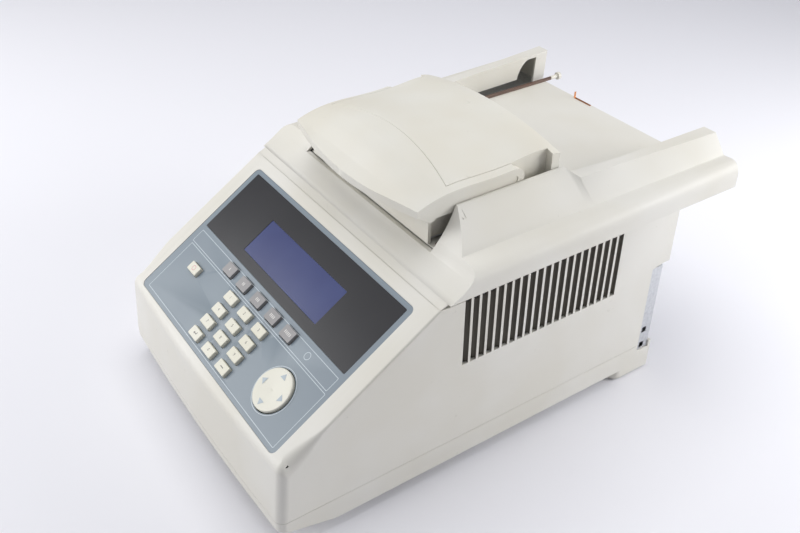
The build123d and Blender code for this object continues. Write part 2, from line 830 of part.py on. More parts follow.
def wing_face(y, inset):
    """A closed face of the wing's cross-section, placed at its depth."""
    shape = wing_points(y, inset)
    low = wing_bottom - (5.0 if inset else 0.0)
    valley_x, valley_z = shape["valley"]
    bumper_z = shape["bumper"]
    outer_x = shape["outer"]
    points = [(shape["inner_low"], y, low)]
    points += [(x, y, z) for x, z in (shape["inner_top"], shape["crest"], shape["valley"])]
    tip = (outer_x, y, wing_bottom + (bumper_z - wing_bottom) * 0.45)
    lines = [Line(a, b) for a, b in zip(points[:-1], points[1:])]
    swell = Spline(
        points[-1], ((valley_x + outer_x) / 2 + 2.0, y, (valley_z + bumper_z) / 2 - 0.3), tip,
        tangents=((1, 0, 0.0), (0, 0, -1)),
    )
    close = [Line(tip, (outer_x, y, low)), Line((outer_x, y, low), points[0])]
    return make_face(Curve() + lines + [swell] + close)


def wing_span(y_low, y_high, inset):
    """The wing between two depths."""
    return loft([wing_face(y_low, inset), wing_face(y_high, inset)], ruled=True)


def wing_body(inset):
    """The right wing from the shoulder to its rear end, in spans that meet at its creases."""
    ends = [
        (shoulder_y - 2.0 + inset, crest_end),
        (crest_end, facet_end),
        (facet_end, kink_y),
        (kink_y, module_rear - inset),
    ]
    solid = wing_span(*ends[0], inset)
    for low, high in ends[1:]:
        solid = solid + wing_span(low, high, inset)
    return solid


def shoulder_curve(inset):
    """The concave shoulder seen from the side, from the top seam to the wings' crest."""
    start = (shoulder_y + inset, shoulder_z)
    middle = (188.2 + inset * 0.75, 206.5 - inset * 0.6)
    end = (217.1 + inset * 0.85, wing_top - inset * 0.3)
    return start, middle, end


def in_front_of_shoulder(inset):
    """The space that lies before the shoulder's curve, used to cut the module's front."""
    start, middle, end = shoulder_curve(inset)
    curve = ThreePointArc(start, middle, end)
    above = [
        Line(end, (end[0] + 8.0, 260.0)), Line((end[0] + 8.0, 260.0), (100.0, 260.0)),
        Line((100.0, 260.0), (100.0, 150.0)), Line((100.0, 150.0), (start[0], 150.0)),
        Line((start[0], 150.0), start),
    ]
    face = Plane.YZ.offset(-half_width - 20) * make_face(Curve() + [curve] + above)
    return extrude(face, base_width + 40, dir=(1, 0, 0))


def make_module_housing():
    """Shoulder and wings in one moulding, hollow and open below."""
    middle = block(-wing_inner_x - 12, wing_inner_x + 12, shoulder_y - 2, rim_y + module_wall + 4,
                   wing_bottom - 5, wing_top)
    outside = middle
    for wing in mirrored(wing_body(0.0)):
        outside = outside + wing
    outside = outside + block(-half_width + 1, half_width - 1, shoulder_y - 2, 178.0,
                              shoulder_z + seam_gap, wing_bottom + 1)
    outside = outside - in_front_of_shoulder(0.0)
    hollow = block(-wing_inner_x - 12, wing_inner_x + 12, shoulder_y, rim_y + 30,
                   wing_bottom - 10, wing_top - module_wall)
    for wing in mirrored(wing_body(module_wall)):
        hollow = hollow + wing
    hollow = hollow - in_front_of_shoulder(module_wall)
    shell = outside - hollow
    opening = along_y(
        [(-rim_half_width, rim_height), (-wing_inner_x, wing_top + 1), (wing_inner_x, wing_top + 1),
         (rim_half_width, rim_height)],
        rim_y - 14.0, rim_y + module_wall + 40,
    )
    floor_cut = block(-half_width - 5, half_width + 5, shoulder_y - 5, module_rear + 5,
                      150.0, shoulder_z + seam_gap)
    slot = block(wing_inner_x - 6, wing_inner_x + 22, slot_front, slot_rear, 190.0, slot_top)
    shell = shell - opening - floor_cut
    under = block(-rear_inner_x - 9, rear_inner_x + 9, rim_y, module_rear + 5, 150.0, flange_top)
    shell = shell - under
    for cut in mirrored(slot):
        shell = shell - cut
    window = block(-rear_inner_x - 20, -wing_inner_x - 4, 466.0, 492.0, slot_top - 1, 233.5)
    arch = Plane.YZ.offset(-rear_inner_x - 25) * Pos(492.0, slot_top - 1) * Circle(26.0)
    quarter = extrude(arch, 40.0, dir=(1, 0, 0)) & window
    return shell - quarter


def make_tray():
    """The module's metal tray: a flange on the base's ledges and a well for the heat pump."""
    edge = wing_outer_x - module_wall - 3.5
    flange = block(-edge, edge, 192.0, module_rear - module_wall - 0.5, flange_bottom, flange_top)
    well = block(-tray_half_width, tray_half_width, tray_front, tray_rear, tray_bottom, flange_top)
    inside = block(-tray_half_width + sheet, tray_half_width - sheet, tray_front + sheet,
                   tray_rear - sheet, tray_bottom + sheet, flange_top + 1)
    tray = flange + well - inside
    vent = block(-tray_half_width - 5, tray_half_width + 5, -2.0, 2.0, tray_bottom + 12, tray_bottom + 42)
    vents = [Pos(0, block_centre_y - 45 + 10.0 * i, 0) * vent for i in range(10)]
    outlet = block(-36, 36, tray_rear - 5, tray_rear + 5, tray_bottom + 6, tray_bottom + 66)
    return tray - vents - [outlet]


def make_deck():
    """Plate between the wings with the block's opening and a turned-down rear edge."""
    low = deck_top - deck_thickness
    plate = block(-deck_half_width, deck_half_width, rim_y + 5, deck_rear, low, deck_top)
    mouth = block(-block_width / 2 - 1, block_width / 2 + 1, block_centre_y - block_depth / 2 - 1,
                  block_centre_y + block_depth / 2 + 1, low - 1, deck_top + 1)
    turn = block(-deck_half_width, deck_half_width, deck_rear - 2.0, deck_rear, flange_top, low)
    leg = block(-deck_half_width, deck_half_width, rim_y + 5, rim_y + 8, flange_top, low)
    return plate - mouth + turn + leg


def make_rails():
    """Two brown wear strips along the deck's edges, for the cover's runners."""
    strip = block(deck_half_width - rail_width, deck_half_width, rim_y + 8, deck_rear + 8.0,
                  deck_top, deck_top + rail_height - slide_gap)
    return Compound(children=mirrored(strip))


def make_rail_screws():
    """Shoulder screws that stand out behind the rails' rear ends."""
    z = deck_top + rail_height / 2
    x = deck_half_width - rail_width / 2
    shank = tube_y(x, z, 2.2, deck_rear + 8.0, module_rear + rail_screw_length - 3.5)
    head = tube_y(x, z, 4.2, module_rear + rail_screw_length - 3.5, module_rear + rail_screw_length)
    return Compound(children=mirrored(shank + head))


def make_sample_block():
    """Aluminium block with its grid of tapered wells."""
    body = block(-block_width / 2, block_width / 2, block_centre_y - block_depth / 2,
                 block_centre_y + block_depth / 2, block_top - block_height, block_top)
    mouth = Pos(0, 0, block_top) * RegularPolygon(well_top_radius, well_sides)
    tip = Pos(0, 0, block_top - well_depth) * RegularPolygon(well_bottom_radius, well_sides)
    well = loft([tip, mouth], ruled=True)
    wells = []
    for row in range(well_rows):
        for column in range(well_columns):
            x = (column - (well_columns - 1) / 2) * well_pitch
            y = block_centre_y + (row - (well_rows - 1) / 2) * well_pitch
            wells.append(Pos(x, y, 0) * well)
    return body - wells


def make_tiles():
    """Six thermoelectric tiles between the block and the heat sink."""
    low = block_top - block_height - tile_thickness
    tiles = []
    for x in (-38.0, 0.0, 38.0):
        for y in (-19.0, 19.0):
            tiles.append(
                Pos(x, block_centre_y + y, low + tile_thickness / 2) * Box(tile_size, tile_size, tile_thickness)
            )
    return Compound(children=tiles)


def make_heat_sink():
    """Finned heat sink hanging under the tiles."""
    top = block_top - block_height - tile_thickness
    half = block_width / 2 + 4
    front = block_centre_y - block_depth / 2 - 6
    rear = block_centre_y + block_depth / 2 + 6
    sink = block(-half, half, front, rear, top - sink_base, top)
    pitch = (2 * half - fin_thickness) / (fin_count - 1)
    for i in range(fin_count):
        x = -half + pitch * i
        sink = sink + block(x, x + fin_thickness, front, rear, top - sink_base - fin_height, top - sink_base)
    lug = block(half - 0.5, tray_half_width - sheet, front + 8, rear - 8, top - sink_base, top - sink_base + 4)
    for piece in mirrored(lug):
        sink = sink + piece
    return sink


def make_ribbon():
    """Flat copper-coloured flex ribbon along the deck's rear edge, with an upright end."""
    low = deck_top
    flat = block(-46.0, -14.0, deck_rear - 10.0, deck_rear - 2.0, low, low + 0.6)
    upright = block(-46.6, -46.0, deck_rear - 10.0, deck_rear - 2.0, low, low + 9.0)
    tab = block(-46.0, -36.0, deck_rear - 10.0, deck_rear - 2.0, low + 8.4, low + 9.0)
    return flat + upright + tab


def cover_section(y, edge, crown, inset):
    """A cross-section of the cover's crowned form."""
    half = cover_half_width - inset
    low = lip_bottom - 40.0
    left = Line((-half, y, low), (-half, y, edge - inset))
    arc = ThreePointArc((-half, y, edge - inset), (0, y, edge + crown - inset), (half, y, edge - inset))
    right = Line((half, y, edge - inset), (half, y, low))
    base = Line((half, y, low), (-half, y, low))
    return make_face(Curve() + [left, arc, right, base])


def cover_form(inset):
    """The whole closed cover with its lever: crowned, and falling to a bulged nose."""
    stations = (
        (cover_rear + 2.0, cover_edge_z, crown_rear),
        (280.0, cover_edge_z, (crown_rear + crown_front) / 2),
        (222.0, cover_edge_z, crown_front),
        (200.0, cover_edge_z - 2.0, crown_front),
        (183.0, cover_edge_z - 6.5, crown_front - 0.5),
        (160.0, cover_edge_z - 17.0, crown_front - 1.5),
    )
    sections = [cover_section(y - inset * 0.5, edge, crown, inset) for y, edge, crown in stations]
    body = loft(sections)
    side = cover_half_width - inset + 0.5
    nose = nose_side_y - nose_bulge + inset
    shoulder = nose_side_y + inset
    outline = Curve() + [
        ThreePointArc((-side, shoulder), (0, nose), (side, shoulder)),
        Line((side, shoulder), (side, cover_rear - inset)),
        Line((side, cover_rear - inset), (-side, cover_rear - inset)),
        Line((-side, cover_rear - inset), (-side, shoulder)),
    ]
    plan = Pos(0, 0, lip_bottom - 30.0) * extrude(make_face(outline), 80.0)
    return body & plan


def groove_side(rearward, shift):
    """Half-space to the front or rear of the groove's slanting plane."""
    reach = 90.0 if rearward else -90.0
    z_low, z_high = 200.0, 300.0
    y_low = groove_centre_y + groove_lean * (z_low - cover_edge_z - crown_front) + shift
    y_high = groove_centre_y + groove_lean * (z_high - cover_edge_z - crown_front) + shift
    return along_x(
        [(y_low, z_low), (y_high, z_high), (y_high + 3 * reach, z_high), (y_low + 3 * reach, z_low)],
        -cover_half_width - 5, cover_half_width + 5,
    )


def make_cover_shell():
    """Crowned rear cover, its stepped core under the lever and its front wall."""
    form = cover_form(0.0)
    core = block(-cover_core_half_width, cover_core_half_width, cover_front_y, cover_rear, 190, 300)
    rear = block(-cover_half_width - 1, cover_half_width + 1, cover_rear - rear_panel_depth, cover_rear + 5, 190, 300)
    upper = form & groove_side(True, groove_gap / 2)
    upper = (upper & core) + (form & rear)
    under = cover_form(lever_wall + lever_clear) & core
    front = block(-cover_core_half_width - 4, cover_core_half_width + 4, cover_front_y - 3.0,
                  cover_front_y, deck_top + 1.5, nose_line_z - 1)
    solid = upper + under
    carriage_top = carriage_bottom + carriage_thickness
    solid = solid - block(-200, 200, 100, 400, 150, carriage_top)
    hollow = cover_form(lever_wall + lever_clear + cover_wall)
    inside = block(-cover_core_half_width + cover_wall, cover_core_half_width - cover_wall,
                   cover_front_y + cover_wall, cover_rear - cover_wall, 150, 300)
    solid = solid - (hollow & inside)
    solid = solid + front
    for pin in mirrored(tube_x(cover_core_half_width - 1.0, cover_half_width - 0.6, pin_radius)):
        solid = solid + pin
    roof = cover_form(lever_wall + lever_clear + 1.0)
    for x, y in guide_places():
        sleeve = tube_z(x, y, guide_radius + sleeve_wall, sleeve_low, cover_edge_z + crown_front) & roof
        solid = solid + sleeve
    reach = guide_grip + platen_lift + 1.0
    for x, y in guide_places():
        solid = solid - tube_z(x, y, guide_radius + shaft_gap, sleeve_low - 1, sleeve_low + reach)
    return solid


def make_lever():
    """U-shaped lever: a bulged hollow nose and two arms that turn on the cover's pins."""
    form = cover_form(0.0)
    hollow = cover_form(lever_wall)
    front = groove_side(False, -groove_gap / 2)
    shell = form & front
    inner = hollow & block(-cover_half_width + lever_wall, cover_half_width - lever_wall, 150, 400, 150, 300)
    shell = shell - inner
    arm_inner = cover_core_half_width + 0.5
    arm_low = arm_pivot_z - arm_end_radius
    arm = block(arm_inner, cover_half_width + 1, 196.0, arm_pivot_y, arm_low, 300.0)
    arm_end = tube_x(arm_inner, arm_inner + 12.0, arm_end_radius)
    outer_strip = form & (arm + arm_end)
    for piece in mirrored(outer_strip):
        shell = shell + piece
    under = along_x(
        [(150, 150), (150, nose_line_z - 6), (nose_side_y - nose_bulge, nose_line_z),
         (nose_side_y, nose_line_z - 2), (lip_back_y, lip_bottom), (204.0, arm_low), (320.0, arm_low), (320.0, 150)],
        -cover_half_width - 5, cover_half_width + 5,
    )
    shell = shell - under
    return shell - tube_x(-150, 150, pin_radius + shaft_gap)


def make_carriage():
    """Metal plate under the cover, open over the block, with runner ears in the wings' slots."""
    top = carriage_bottom + carriage_thickness
    edge = cover_core_half_width
    plate = block(-edge, edge, cover_front_y + 1.0, cover_rear - 1.0, carriage_bottom, top)
    mouth = block(-platen_width / 2 - 2, platen_width / 2 + 2, block_centre_y - platen_depth / 2 - 2,
                  block_centre_y + platen_depth / 2 + 2, carriage_bottom - 1, top + 1)
    plate = plate - mouth
    for y in ear_places:
        ear = block(edge - 1, wing_inner_x + 12.0, y, y + ear_length, carriage_bottom, top)
        for piece in mirrored(ear):
            plate = plate + piece
    return plate


def guide_places():
    """Where the platen's four guide posts stand."""
    return [(x, block_centre_y + y) for x in (-guide_x, guide_x) for y in (-guide_y, guide_y)]


def make_platen():
    """Heated platen with its upper heater plate and four guide posts."""
    low = platen_bottom
    top = low + platen_thickness
    plate = block(-platen_width / 2, platen_width / 2, block_centre_y - platen_depth / 2,
                  block_centre_y + platen_depth / 2, low, top)
    for x, y in guide_places():
        plate = plate + tube_z(x, y, guide_radius, top, sleeve_low + guide_grip)
    return plate


write("upper_housing", make_upper_housing())
write("control_overlay", make_overlay())
write("display_window", make_window())
write("lcd_glass", make_lcd_glass())
write("display_board", make_display_board())
write("keypad_board", make_keypad_board())
write("keypad_standoffs", make_keypad_standoffs())
write("keypad_mat", make_keypad_mat())
for name, x, s, width, height, rise, _ in key_places():
    write(name, make_key(x, s, width, height, rise))
write("arrow_pad", make_arrow_pad())
write("arrow_ball", make_arrow_ball())
write("base_pan", make_base_pan())
write("rubber_feet", make_feet())
write("chassis", make_chassis())
write("rear_panel", make_rear_panel())
write("base_fan_frame", fan_frame(base_fan_x, base_fan_z, rear_panel_y - sheet - fan_depth))
write("base_fan_rotor", fan_rotor(base_fan_x, base_fan_z, rear_panel_y - sheet - fan_depth))
write("power_supply", make_power_supply())
write("main_board", make_main_board())
write("power_inlet", make_power_inlet())
write("fuse_holder", make_fuse_holder())
write("serial_port", make_serial_port())
write("switch_frame", make_switch_frame())
write("power_rocker", make_rocker())
write("module_housing", make_module_housing())
write("module_tray", make_tray())
write("module_fan_frame", fan_frame(0.0, module_fan_z, module_fan_y))
write("module_fan_rotor", fan_rotor(0.0, module_fan_z, module_fan_y))
write("rear_deck", make_deck())
write("slide_rails", make_rails())
write("rail_screws", make_rail_screws())
write("sample_block", make_sample_block())
write("thermoelectric_tiles", make_tiles())
write("heat_sink", make_heat_sink())
write("flex_ribbon", make_ribbon())
write("cover_shell", make_cover_shell())
write("lever", make_lever())
write("cover_carriage", make_carriage())
write("heated_platen", make_platen())
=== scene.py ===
# %% [markdown]
# # A thermal cycler, dressed in Blender
# The solids of this bench instrument come from a CAD model, already packed as a fixed frame.
# Blender adds what a solid can't say: how each moulding is rounded, what it is made of, what is
# printed on it and how it is lit. Nothing that the CAD placed is moved here, so every joint still works.

# %% Load the frame
import json
from math import cos, radians, sin

import bmesh
import bpy
import numpy as np
from mathutils import Matrix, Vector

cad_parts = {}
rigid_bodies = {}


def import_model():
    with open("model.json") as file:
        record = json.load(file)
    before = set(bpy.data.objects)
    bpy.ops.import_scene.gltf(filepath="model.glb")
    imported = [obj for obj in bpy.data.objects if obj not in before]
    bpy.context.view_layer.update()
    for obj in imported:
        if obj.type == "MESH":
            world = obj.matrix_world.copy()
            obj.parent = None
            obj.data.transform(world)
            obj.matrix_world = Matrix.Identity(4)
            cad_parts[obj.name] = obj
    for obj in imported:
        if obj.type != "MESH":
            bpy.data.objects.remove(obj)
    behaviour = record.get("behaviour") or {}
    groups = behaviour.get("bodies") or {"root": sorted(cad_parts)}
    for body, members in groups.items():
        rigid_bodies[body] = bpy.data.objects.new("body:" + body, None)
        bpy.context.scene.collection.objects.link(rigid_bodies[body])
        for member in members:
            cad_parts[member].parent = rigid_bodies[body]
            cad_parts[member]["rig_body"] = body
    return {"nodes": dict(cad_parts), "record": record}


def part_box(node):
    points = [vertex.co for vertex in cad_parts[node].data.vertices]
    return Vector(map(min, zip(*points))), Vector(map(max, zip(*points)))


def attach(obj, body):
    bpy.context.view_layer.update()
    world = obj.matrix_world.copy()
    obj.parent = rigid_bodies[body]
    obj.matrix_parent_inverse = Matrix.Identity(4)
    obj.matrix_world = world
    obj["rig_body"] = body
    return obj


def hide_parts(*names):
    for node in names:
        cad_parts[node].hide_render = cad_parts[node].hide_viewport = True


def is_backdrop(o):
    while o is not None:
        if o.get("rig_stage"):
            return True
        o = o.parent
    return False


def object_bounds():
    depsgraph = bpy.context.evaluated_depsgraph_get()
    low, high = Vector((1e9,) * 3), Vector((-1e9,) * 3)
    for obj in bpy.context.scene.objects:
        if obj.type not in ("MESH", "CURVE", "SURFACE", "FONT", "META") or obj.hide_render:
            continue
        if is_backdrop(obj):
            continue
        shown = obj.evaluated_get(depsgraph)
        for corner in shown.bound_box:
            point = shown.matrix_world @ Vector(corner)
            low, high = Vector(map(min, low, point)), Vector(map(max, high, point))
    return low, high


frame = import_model()
cad_low, cad_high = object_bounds()
MM = 0.001
HALF_LENGTH = (cad_high[1] - cad_low[1]) / 2 / MM
BODY_OF = {n: o["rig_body"] for n, o in frame["nodes"].items()}
print("size in mm:", [round((b - a) / MM, 1) for a, b in zip(cad_low, cad_high)])

# %% [markdown]
# ## The camera
# The camera stands where the photograph was taken: to the right of the instrument, a little above it,
# about 0.9 m off. Its place and turn were solved from straight edges of the housing. The turn is
# written as an axis-angle vector, because three numbers are easier to keep than nine.

# %% Place the camera
CAMERA_PLACE = (0.61726, -0.44874, 0.64599)
CAMERA_TURN = np.array((1.9801, 1.0555, -0.5383))
LENS_MM = 41.5
SENSOR_MM = 36.0


def turn_matrix(vector):
    """Rodrigues' rule: cos(a) I + sin(a) K + (1 - cos(a)) n n^T, with K the cross product with n."""
    angle = np.linalg.norm(vector)
    n = vector / angle
    k = np.array([(0, -n[2], n[1]), (n[2], 0, -n[0]), (-n[1], n[0], 0)])
    return cos(angle) * np.eye(3) + sin(angle) * k + (1 - cos(angle)) * np.outer(n, n)


seen = turn_matrix(CAMERA_TURN)
axes = np.stack((seen[0], -seen[1], -seen[2]), axis=1)
camera = bpy.data.objects.new("camera", bpy.data.cameras.new("camera"))
camera.data.lens = LENS_MM
camera.data.sensor_width = SENSOR_MM
camera.data.clip_start = 0.01
camera.matrix_world = Matrix.Translation(CAMERA_PLACE) @ Matrix(axes.tolist()).to_4x4()
bpy.context.scene.collection.objects.link(camera)
bpy.context.scene.camera = camera
bpy.context.scene.view_settings.view_transform = "Standard"
print("camera looks along", [round(float(v), 3) for v in seen[2]])

# %% [markdown]
# ## Colours and shader nodes
# Colours are read off the photograph as sRGB hex values, the way that a paint chart gives them, and
# Blender's shaders want them linear. One function turns them over, and one other adds a shader node
# with its settings and its links, so that a material reads as a list.

# %% Helpers for materials
def linear(code):
    """sRGB hex to linear: c / 12.92 for dark values, else ((c + 0.055) / 1.055) ^ 2.4."""
    c = np.array([int(code[i:i + 2], 16) for i in (1, 3, 5)]) / 255
    value = np.where(c <= 0.04045, c / 12.92, ((c + 0.055) / 1.055) ** 2.4)
    return (*value.tolist(), 1.0)


def node(tree, kind, settings=None, **sockets):
    """Adds one node. Settings are its attributes, sockets its inputs: a value, or an output to link."""
    made = tree.nodes.new(kind)
    for key, value in (settings or {}).items():
        setattr(made, key, value)
    for key, value in sockets.items():
        index = int(key[1:]) if key[0] == "i" and key[1:].isdigit() else key.replace("_", " ")
        socket = made.inputs[index]
        if isinstance(value, bpy.types.NodeSocket):
            tree.links.new(value, socket)
        else:
            socket.default_value = value
    return made


def new_material(name):
    """An empty material with a Principled shader: returns the material, its tree and the shader."""
    material = bpy.data.materials.new(name)
    material.use_nodes = True
    tree = material.node_tree
    return material, tree, tree.nodes["Principled BSDF"]


print("white is", linear("#FFFFFF"))

# %% [markdown]
# ## Moulded ABS
# The housing is injection-moulded ABS with a fine spark-eroded texture, which the eye reads as an even,
# soft sheen with no mirror in it. Years on a bench turn it a little yellow in soft patches and leave
# faint scuffs. The texture is drawn at 0.5 mm, the coarsest that still looks like grain.

# %% Moulded plastic
def moulded(name, colour, aged, dirt, grain_mm=0.5, rough=0.52, patch_mm=90.0, relief=0.04):
    """Colour drifts between fresh and aged over broad patches, and thin scuffs take the dirt colour."""
    material, tree, shader = new_material(name)
    place = node(tree, "ShaderNodeTexCoord").outputs["Object"]
    broad = node(tree, "ShaderNodeTexNoise", Vector=place, Scale=1 / (patch_mm * MM), Detail=2.0)
    drift = node(tree, "ShaderNodeMapRange", Value=broad.outputs[0], From_Min=0.35, From_Max=0.65)
    tone = node(tree, "ShaderNodeMix", {"data_type": "RGBA"}, Factor=drift.outputs[0],
                i6=linear(colour), i7=linear(aged))
    scuff = node(tree, "ShaderNodeTexNoise", Vector=place, Scale=1 / (9 * MM), Detail=6.0, Roughness=0.7)
    mark = node(tree, "ShaderNodeMapRange", Value=scuff.outputs[0],
                From_Min=0.66, From_Max=0.74, To_Max=0.35)
    stained = node(tree, "ShaderNodeMix", {"data_type": "RGBA"}, Factor=mark.outputs[0],
                   i6=tone.outputs[2], i7=linear(dirt))
    grain = node(tree, "ShaderNodeTexNoise", Vector=place, Scale=1 / (grain_mm * MM), Detail=1.0)
    bump = node(tree, "ShaderNodeBump", Strength=relief, Distance=0.2 * MM, Height=grain.outputs[0])
    sheen = node(tree, "ShaderNodeMapRange", Value=broad.outputs[0],
                 To_Min=rough - 0.05, To_Max=rough + 0.06)
    tree.links.new(stained.outputs[2], shader.inputs["Base Color"])
    tree.links.new(sheen.outputs[0], shader.inputs["Roughness"])
    tree.links.new(bump.outputs[0], shader.inputs["Normal"])
    shader.inputs["IOR"].default_value = 1.53
    return material


HOUSING_ABS = moulded("housing_abs", "#DEDCD5", "#D9D6CC", "#B9B5A8")
COVER_ABS = moulded("cover_abs", "#E0DED5", "#DBD7CA", "#BDB8A8")
KEY_ABS = moulded("key_abs", "#DFDDD0", "#DBD8C7", "#CFCAB0", grain_mm=0.4, rough=0.42)
SOFT_KEY_ABS = moulded("soft_key_abs", "#9C9A9A", "#939191", "#7F7D7D", grain_mm=0.4, rough=0.45)
BLACK_ABS = moulded("black_abs", "#232323", "#2A2A29", "#3A3937", rough=0.5)
PAD_ABS = moulded("pad_abs", "#DCDBCE", "#D8D6C4", "#CFCAB0", grain_mm=0.4, rough=0.45)
print("mouldings:", [m.name for m in bpy.data.materials if "abs" in m.name])

# %% [markdown]
# ## Printed film, acrylic and the display
# The control overlay is polycarbonate film, reverse printed, with a satin face. The display sits
# behind smoked acrylic, which is nearly black and mirrors the room softly. The blue of the display is
# the dye of the liquid crystal, paler at its lower edge on the real one; here it drifts between two tones.

# %% Films and glass
def film(name, colour, second, rough, grain_mm=0.3, relief=0.02, specular=0.5):
    """A flat sheet whose colour drifts a little and whose face has a very fine grain."""
    material, tree, shader = new_material(name)
    place = node(tree, "ShaderNodeTexCoord").outputs["Object"]
    broad = node(tree, "ShaderNodeTexNoise", Vector=place, Scale=1 / (60 * MM), Detail=2.0)
    drift = node(tree, "ShaderNodeMapRange", Value=broad.outputs[0], From_Min=0.3, From_Max=0.7)
    tone = node(tree, "ShaderNodeMix", {"data_type": "RGBA"}, Factor=drift.outputs[0],
                i6=linear(colour), i7=linear(second))
    grain = node(tree, "ShaderNodeTexNoise", Vector=place, Scale=1 / (grain_mm * MM), Detail=1.0)
    bump = node(tree, "ShaderNodeBump", Strength=relief, Distance=0.1 * MM, Height=grain.outputs[0])
    tree.links.new(tone.outputs[2], shader.inputs["Base Color"])
    tree.links.new(bump.outputs[0], shader.inputs["Normal"])
    shader.inputs["Roughness"].default_value = rough
    shader.inputs["IOR"].default_value = 1.58
    shader.inputs["Specular IOR Level"].default_value = specular
    return material


OVERLAY_FILM = film("overlay_film", "#7F8B94", "#7B8791", 0.42)
WINDOW_ACRYLIC = film("window_acrylic", "#2A2A2D", "#2E2E31", 0.3, relief=0.0, specular=0.35)
LCD_GLASS = film("lcd_glass", "#39416F", "#414A78", 0.25, relief=0.0, specular=0.35)
PRINT_PALE = film("print_pale", "#BFCAD1", "#C4CED4", 0.4)
PRINT_DARK = film("print_dark", "#6E6C68", "#6A6865", 0.45)
PRINT_BLUE = film("print_blue", "#AFBAC1", "#AAB6BE", 0.45)
PRINT_RED = film("print_red", "#D9A5A5", "#D79F9F", 0.45)
PRINT_LIGHT = film("print_light", "#D8D6D2", "#D4D2CE", 0.45)
print("films:", OVERLAY_FILM.name, WINDOW_ACRYLIC.name, LCD_GLASS.name)

# %% [markdown]
# ## Metals, laminate and boards
# Behind the louvres is zinc-plated sheet steel, a grey metal with a broad soft gleam. The wear strips
# are cut from brown phenolic laminate, and the flat ribbon is copper under amber film. A metal keeps
# its default IOR, because its colour already is its reflection.

# %% Metals and boards
def metal(name, colour, second, rough, grain_mm=3.0):
    """A metal whose roughness and colour drift with the crystals of its plating."""
    material, tree, shader = new_material(name)
    place = node(tree, "ShaderNodeTexCoord").outputs["Object"]
    spangle = node(tree, "ShaderNodeTexVoronoi", Vector=place, Scale=1 / (grain_mm * MM))
    tone = node(tree, "ShaderNodeMix", {"data_type": "RGBA"}, Factor=spangle.outputs[0],
                i6=linear(colour), i7=linear(second))
    gloss = node(tree, "ShaderNodeMapRange", Value=spangle.outputs[0],
                 To_Min=rough - 0.06, To_Max=rough + 0.08)
    tree.links.new(tone.outputs[2], shader.inputs["Base Color"])
    tree.links.new(gloss.outputs[0], shader.inputs["Roughness"])
    shader.inputs["Metallic"].default_value = 1.0
    return material


ZINC_STEEL = metal("zinc_plated_steel", "#D6D8DA", "#C6C8CB", 0.42)
BLOCK_ALUMINIUM = metal("anodised_aluminium", "#C3C5C9", "#B6B8BC", 0.3, grain_mm=1.5)
COPPER_FILM = metal("copper_flex", "#C88A5C", "#BD7D50", 0.35, grain_mm=2.0)
PHENOLIC = film("phenolic_laminate", "#6B5246", "#5E473C", 0.5)
BOARD_GREEN = film("solder_mask", "#1E5B34", "#1B5230", 0.35)
SILICONE = film("silicone_rubber", "#8E8E8C", "#898987", 0.6)
FOOT_RUBBER = film("black_rubber", "#1C1C1C", "#222221", 0.7)
CERAMIC = film("white_ceramic", "#E6E6E2", "#DFDFDA", 0.5)
print("metals:", ZINC_STEEL.name, BLOCK_ALUMINIUM.name, COPPER_FILM.name)

# %% [markdown]
# ## Materials on the CAD nodes
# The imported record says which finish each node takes. The table below maps those finishes to the
# materials above, so each node is dressed by one line and none is forgotten.

# %% Dress the nodes
FINISH = {
    "housing_plastic": HOUSING_ABS, "cover_plastic": COVER_ABS, "overlay_film": OVERLAY_FILM,
    "window_acrylic": WINDOW_ACRYLIC, "lcd_glass": LCD_GLASS, "circuit_board": BOARD_GREEN,
    "silicone": SILICONE, "foot_rubber": FOOT_RUBBER, "zinc_steel": ZINC_STEEL,
    "black_plastic": BLACK_ABS, "brown_laminate": PHENOLIC, "block_metal": BLOCK_ALUMINIUM,
    "tile_ceramic": CERAMIC, "copper_ribbon": COPPER_FILM, "key_cream": KEY_ABS,
    "key_grey": SOFT_KEY_ABS,
}
SLOT_OF = {row["node"]: row["material_slot"] for row in frame["record"]["subparts"]}
for name, solid in frame["nodes"].items():
    solid.data.materials.clear()
    solid.data.materials.append(FINISH[SLOT_OF[name]])
frame["nodes"]["rail_screws"].data.materials[0] = COVER_ABS
print("dressed", len(SLOT_OF), "nodes in", len(set(SLOT_OF.values())), "finishes")

# %% [markdown]
# ## The nose of the cover and of its lever
# The crown of the cover flattens where the lever's nose comes down to the front lip. The solids carry
# one crown further forward, so copies of them are cut across every few millimetres, and their points
# are lowered by a smooth rule. Bending a copy keeps its walls and edges, which a new surface would have
# to repeat. Rows are counted in millimetres from the front of the instrument.

# %% The nose's true fall
COVER_HALF_WIDTH = 100.4
NOSE_PLACES = np.array((167.0, 178.0, 190.0, 205.0, 222.0))
NOSE_CROWN = np.array((1.5, 3.5, 9.5, 14.0, 16.2))
PLAIN_PLACES = np.array((160.0, 183.0, 200.0, 222.0))
PLAIN_CROWN = np.array((14.7, 15.7, 16.2, 16.2))
LIP_FOOT, FALL_HEIGHT = 230.0, 25.0
ROW_STEP, COLUMN_STEP, COLUMN_REACH = 3.0, 15.0, 90.0
NOSE_CUTS = {
    1: np.arange(NOSE_PLACES[0], NOSE_PLACES[-1], ROW_STEP) - HALF_LENGTH,
    0: np.arange(-COLUMN_REACH, COLUMN_REACH + 1, COLUMN_STEP),
}


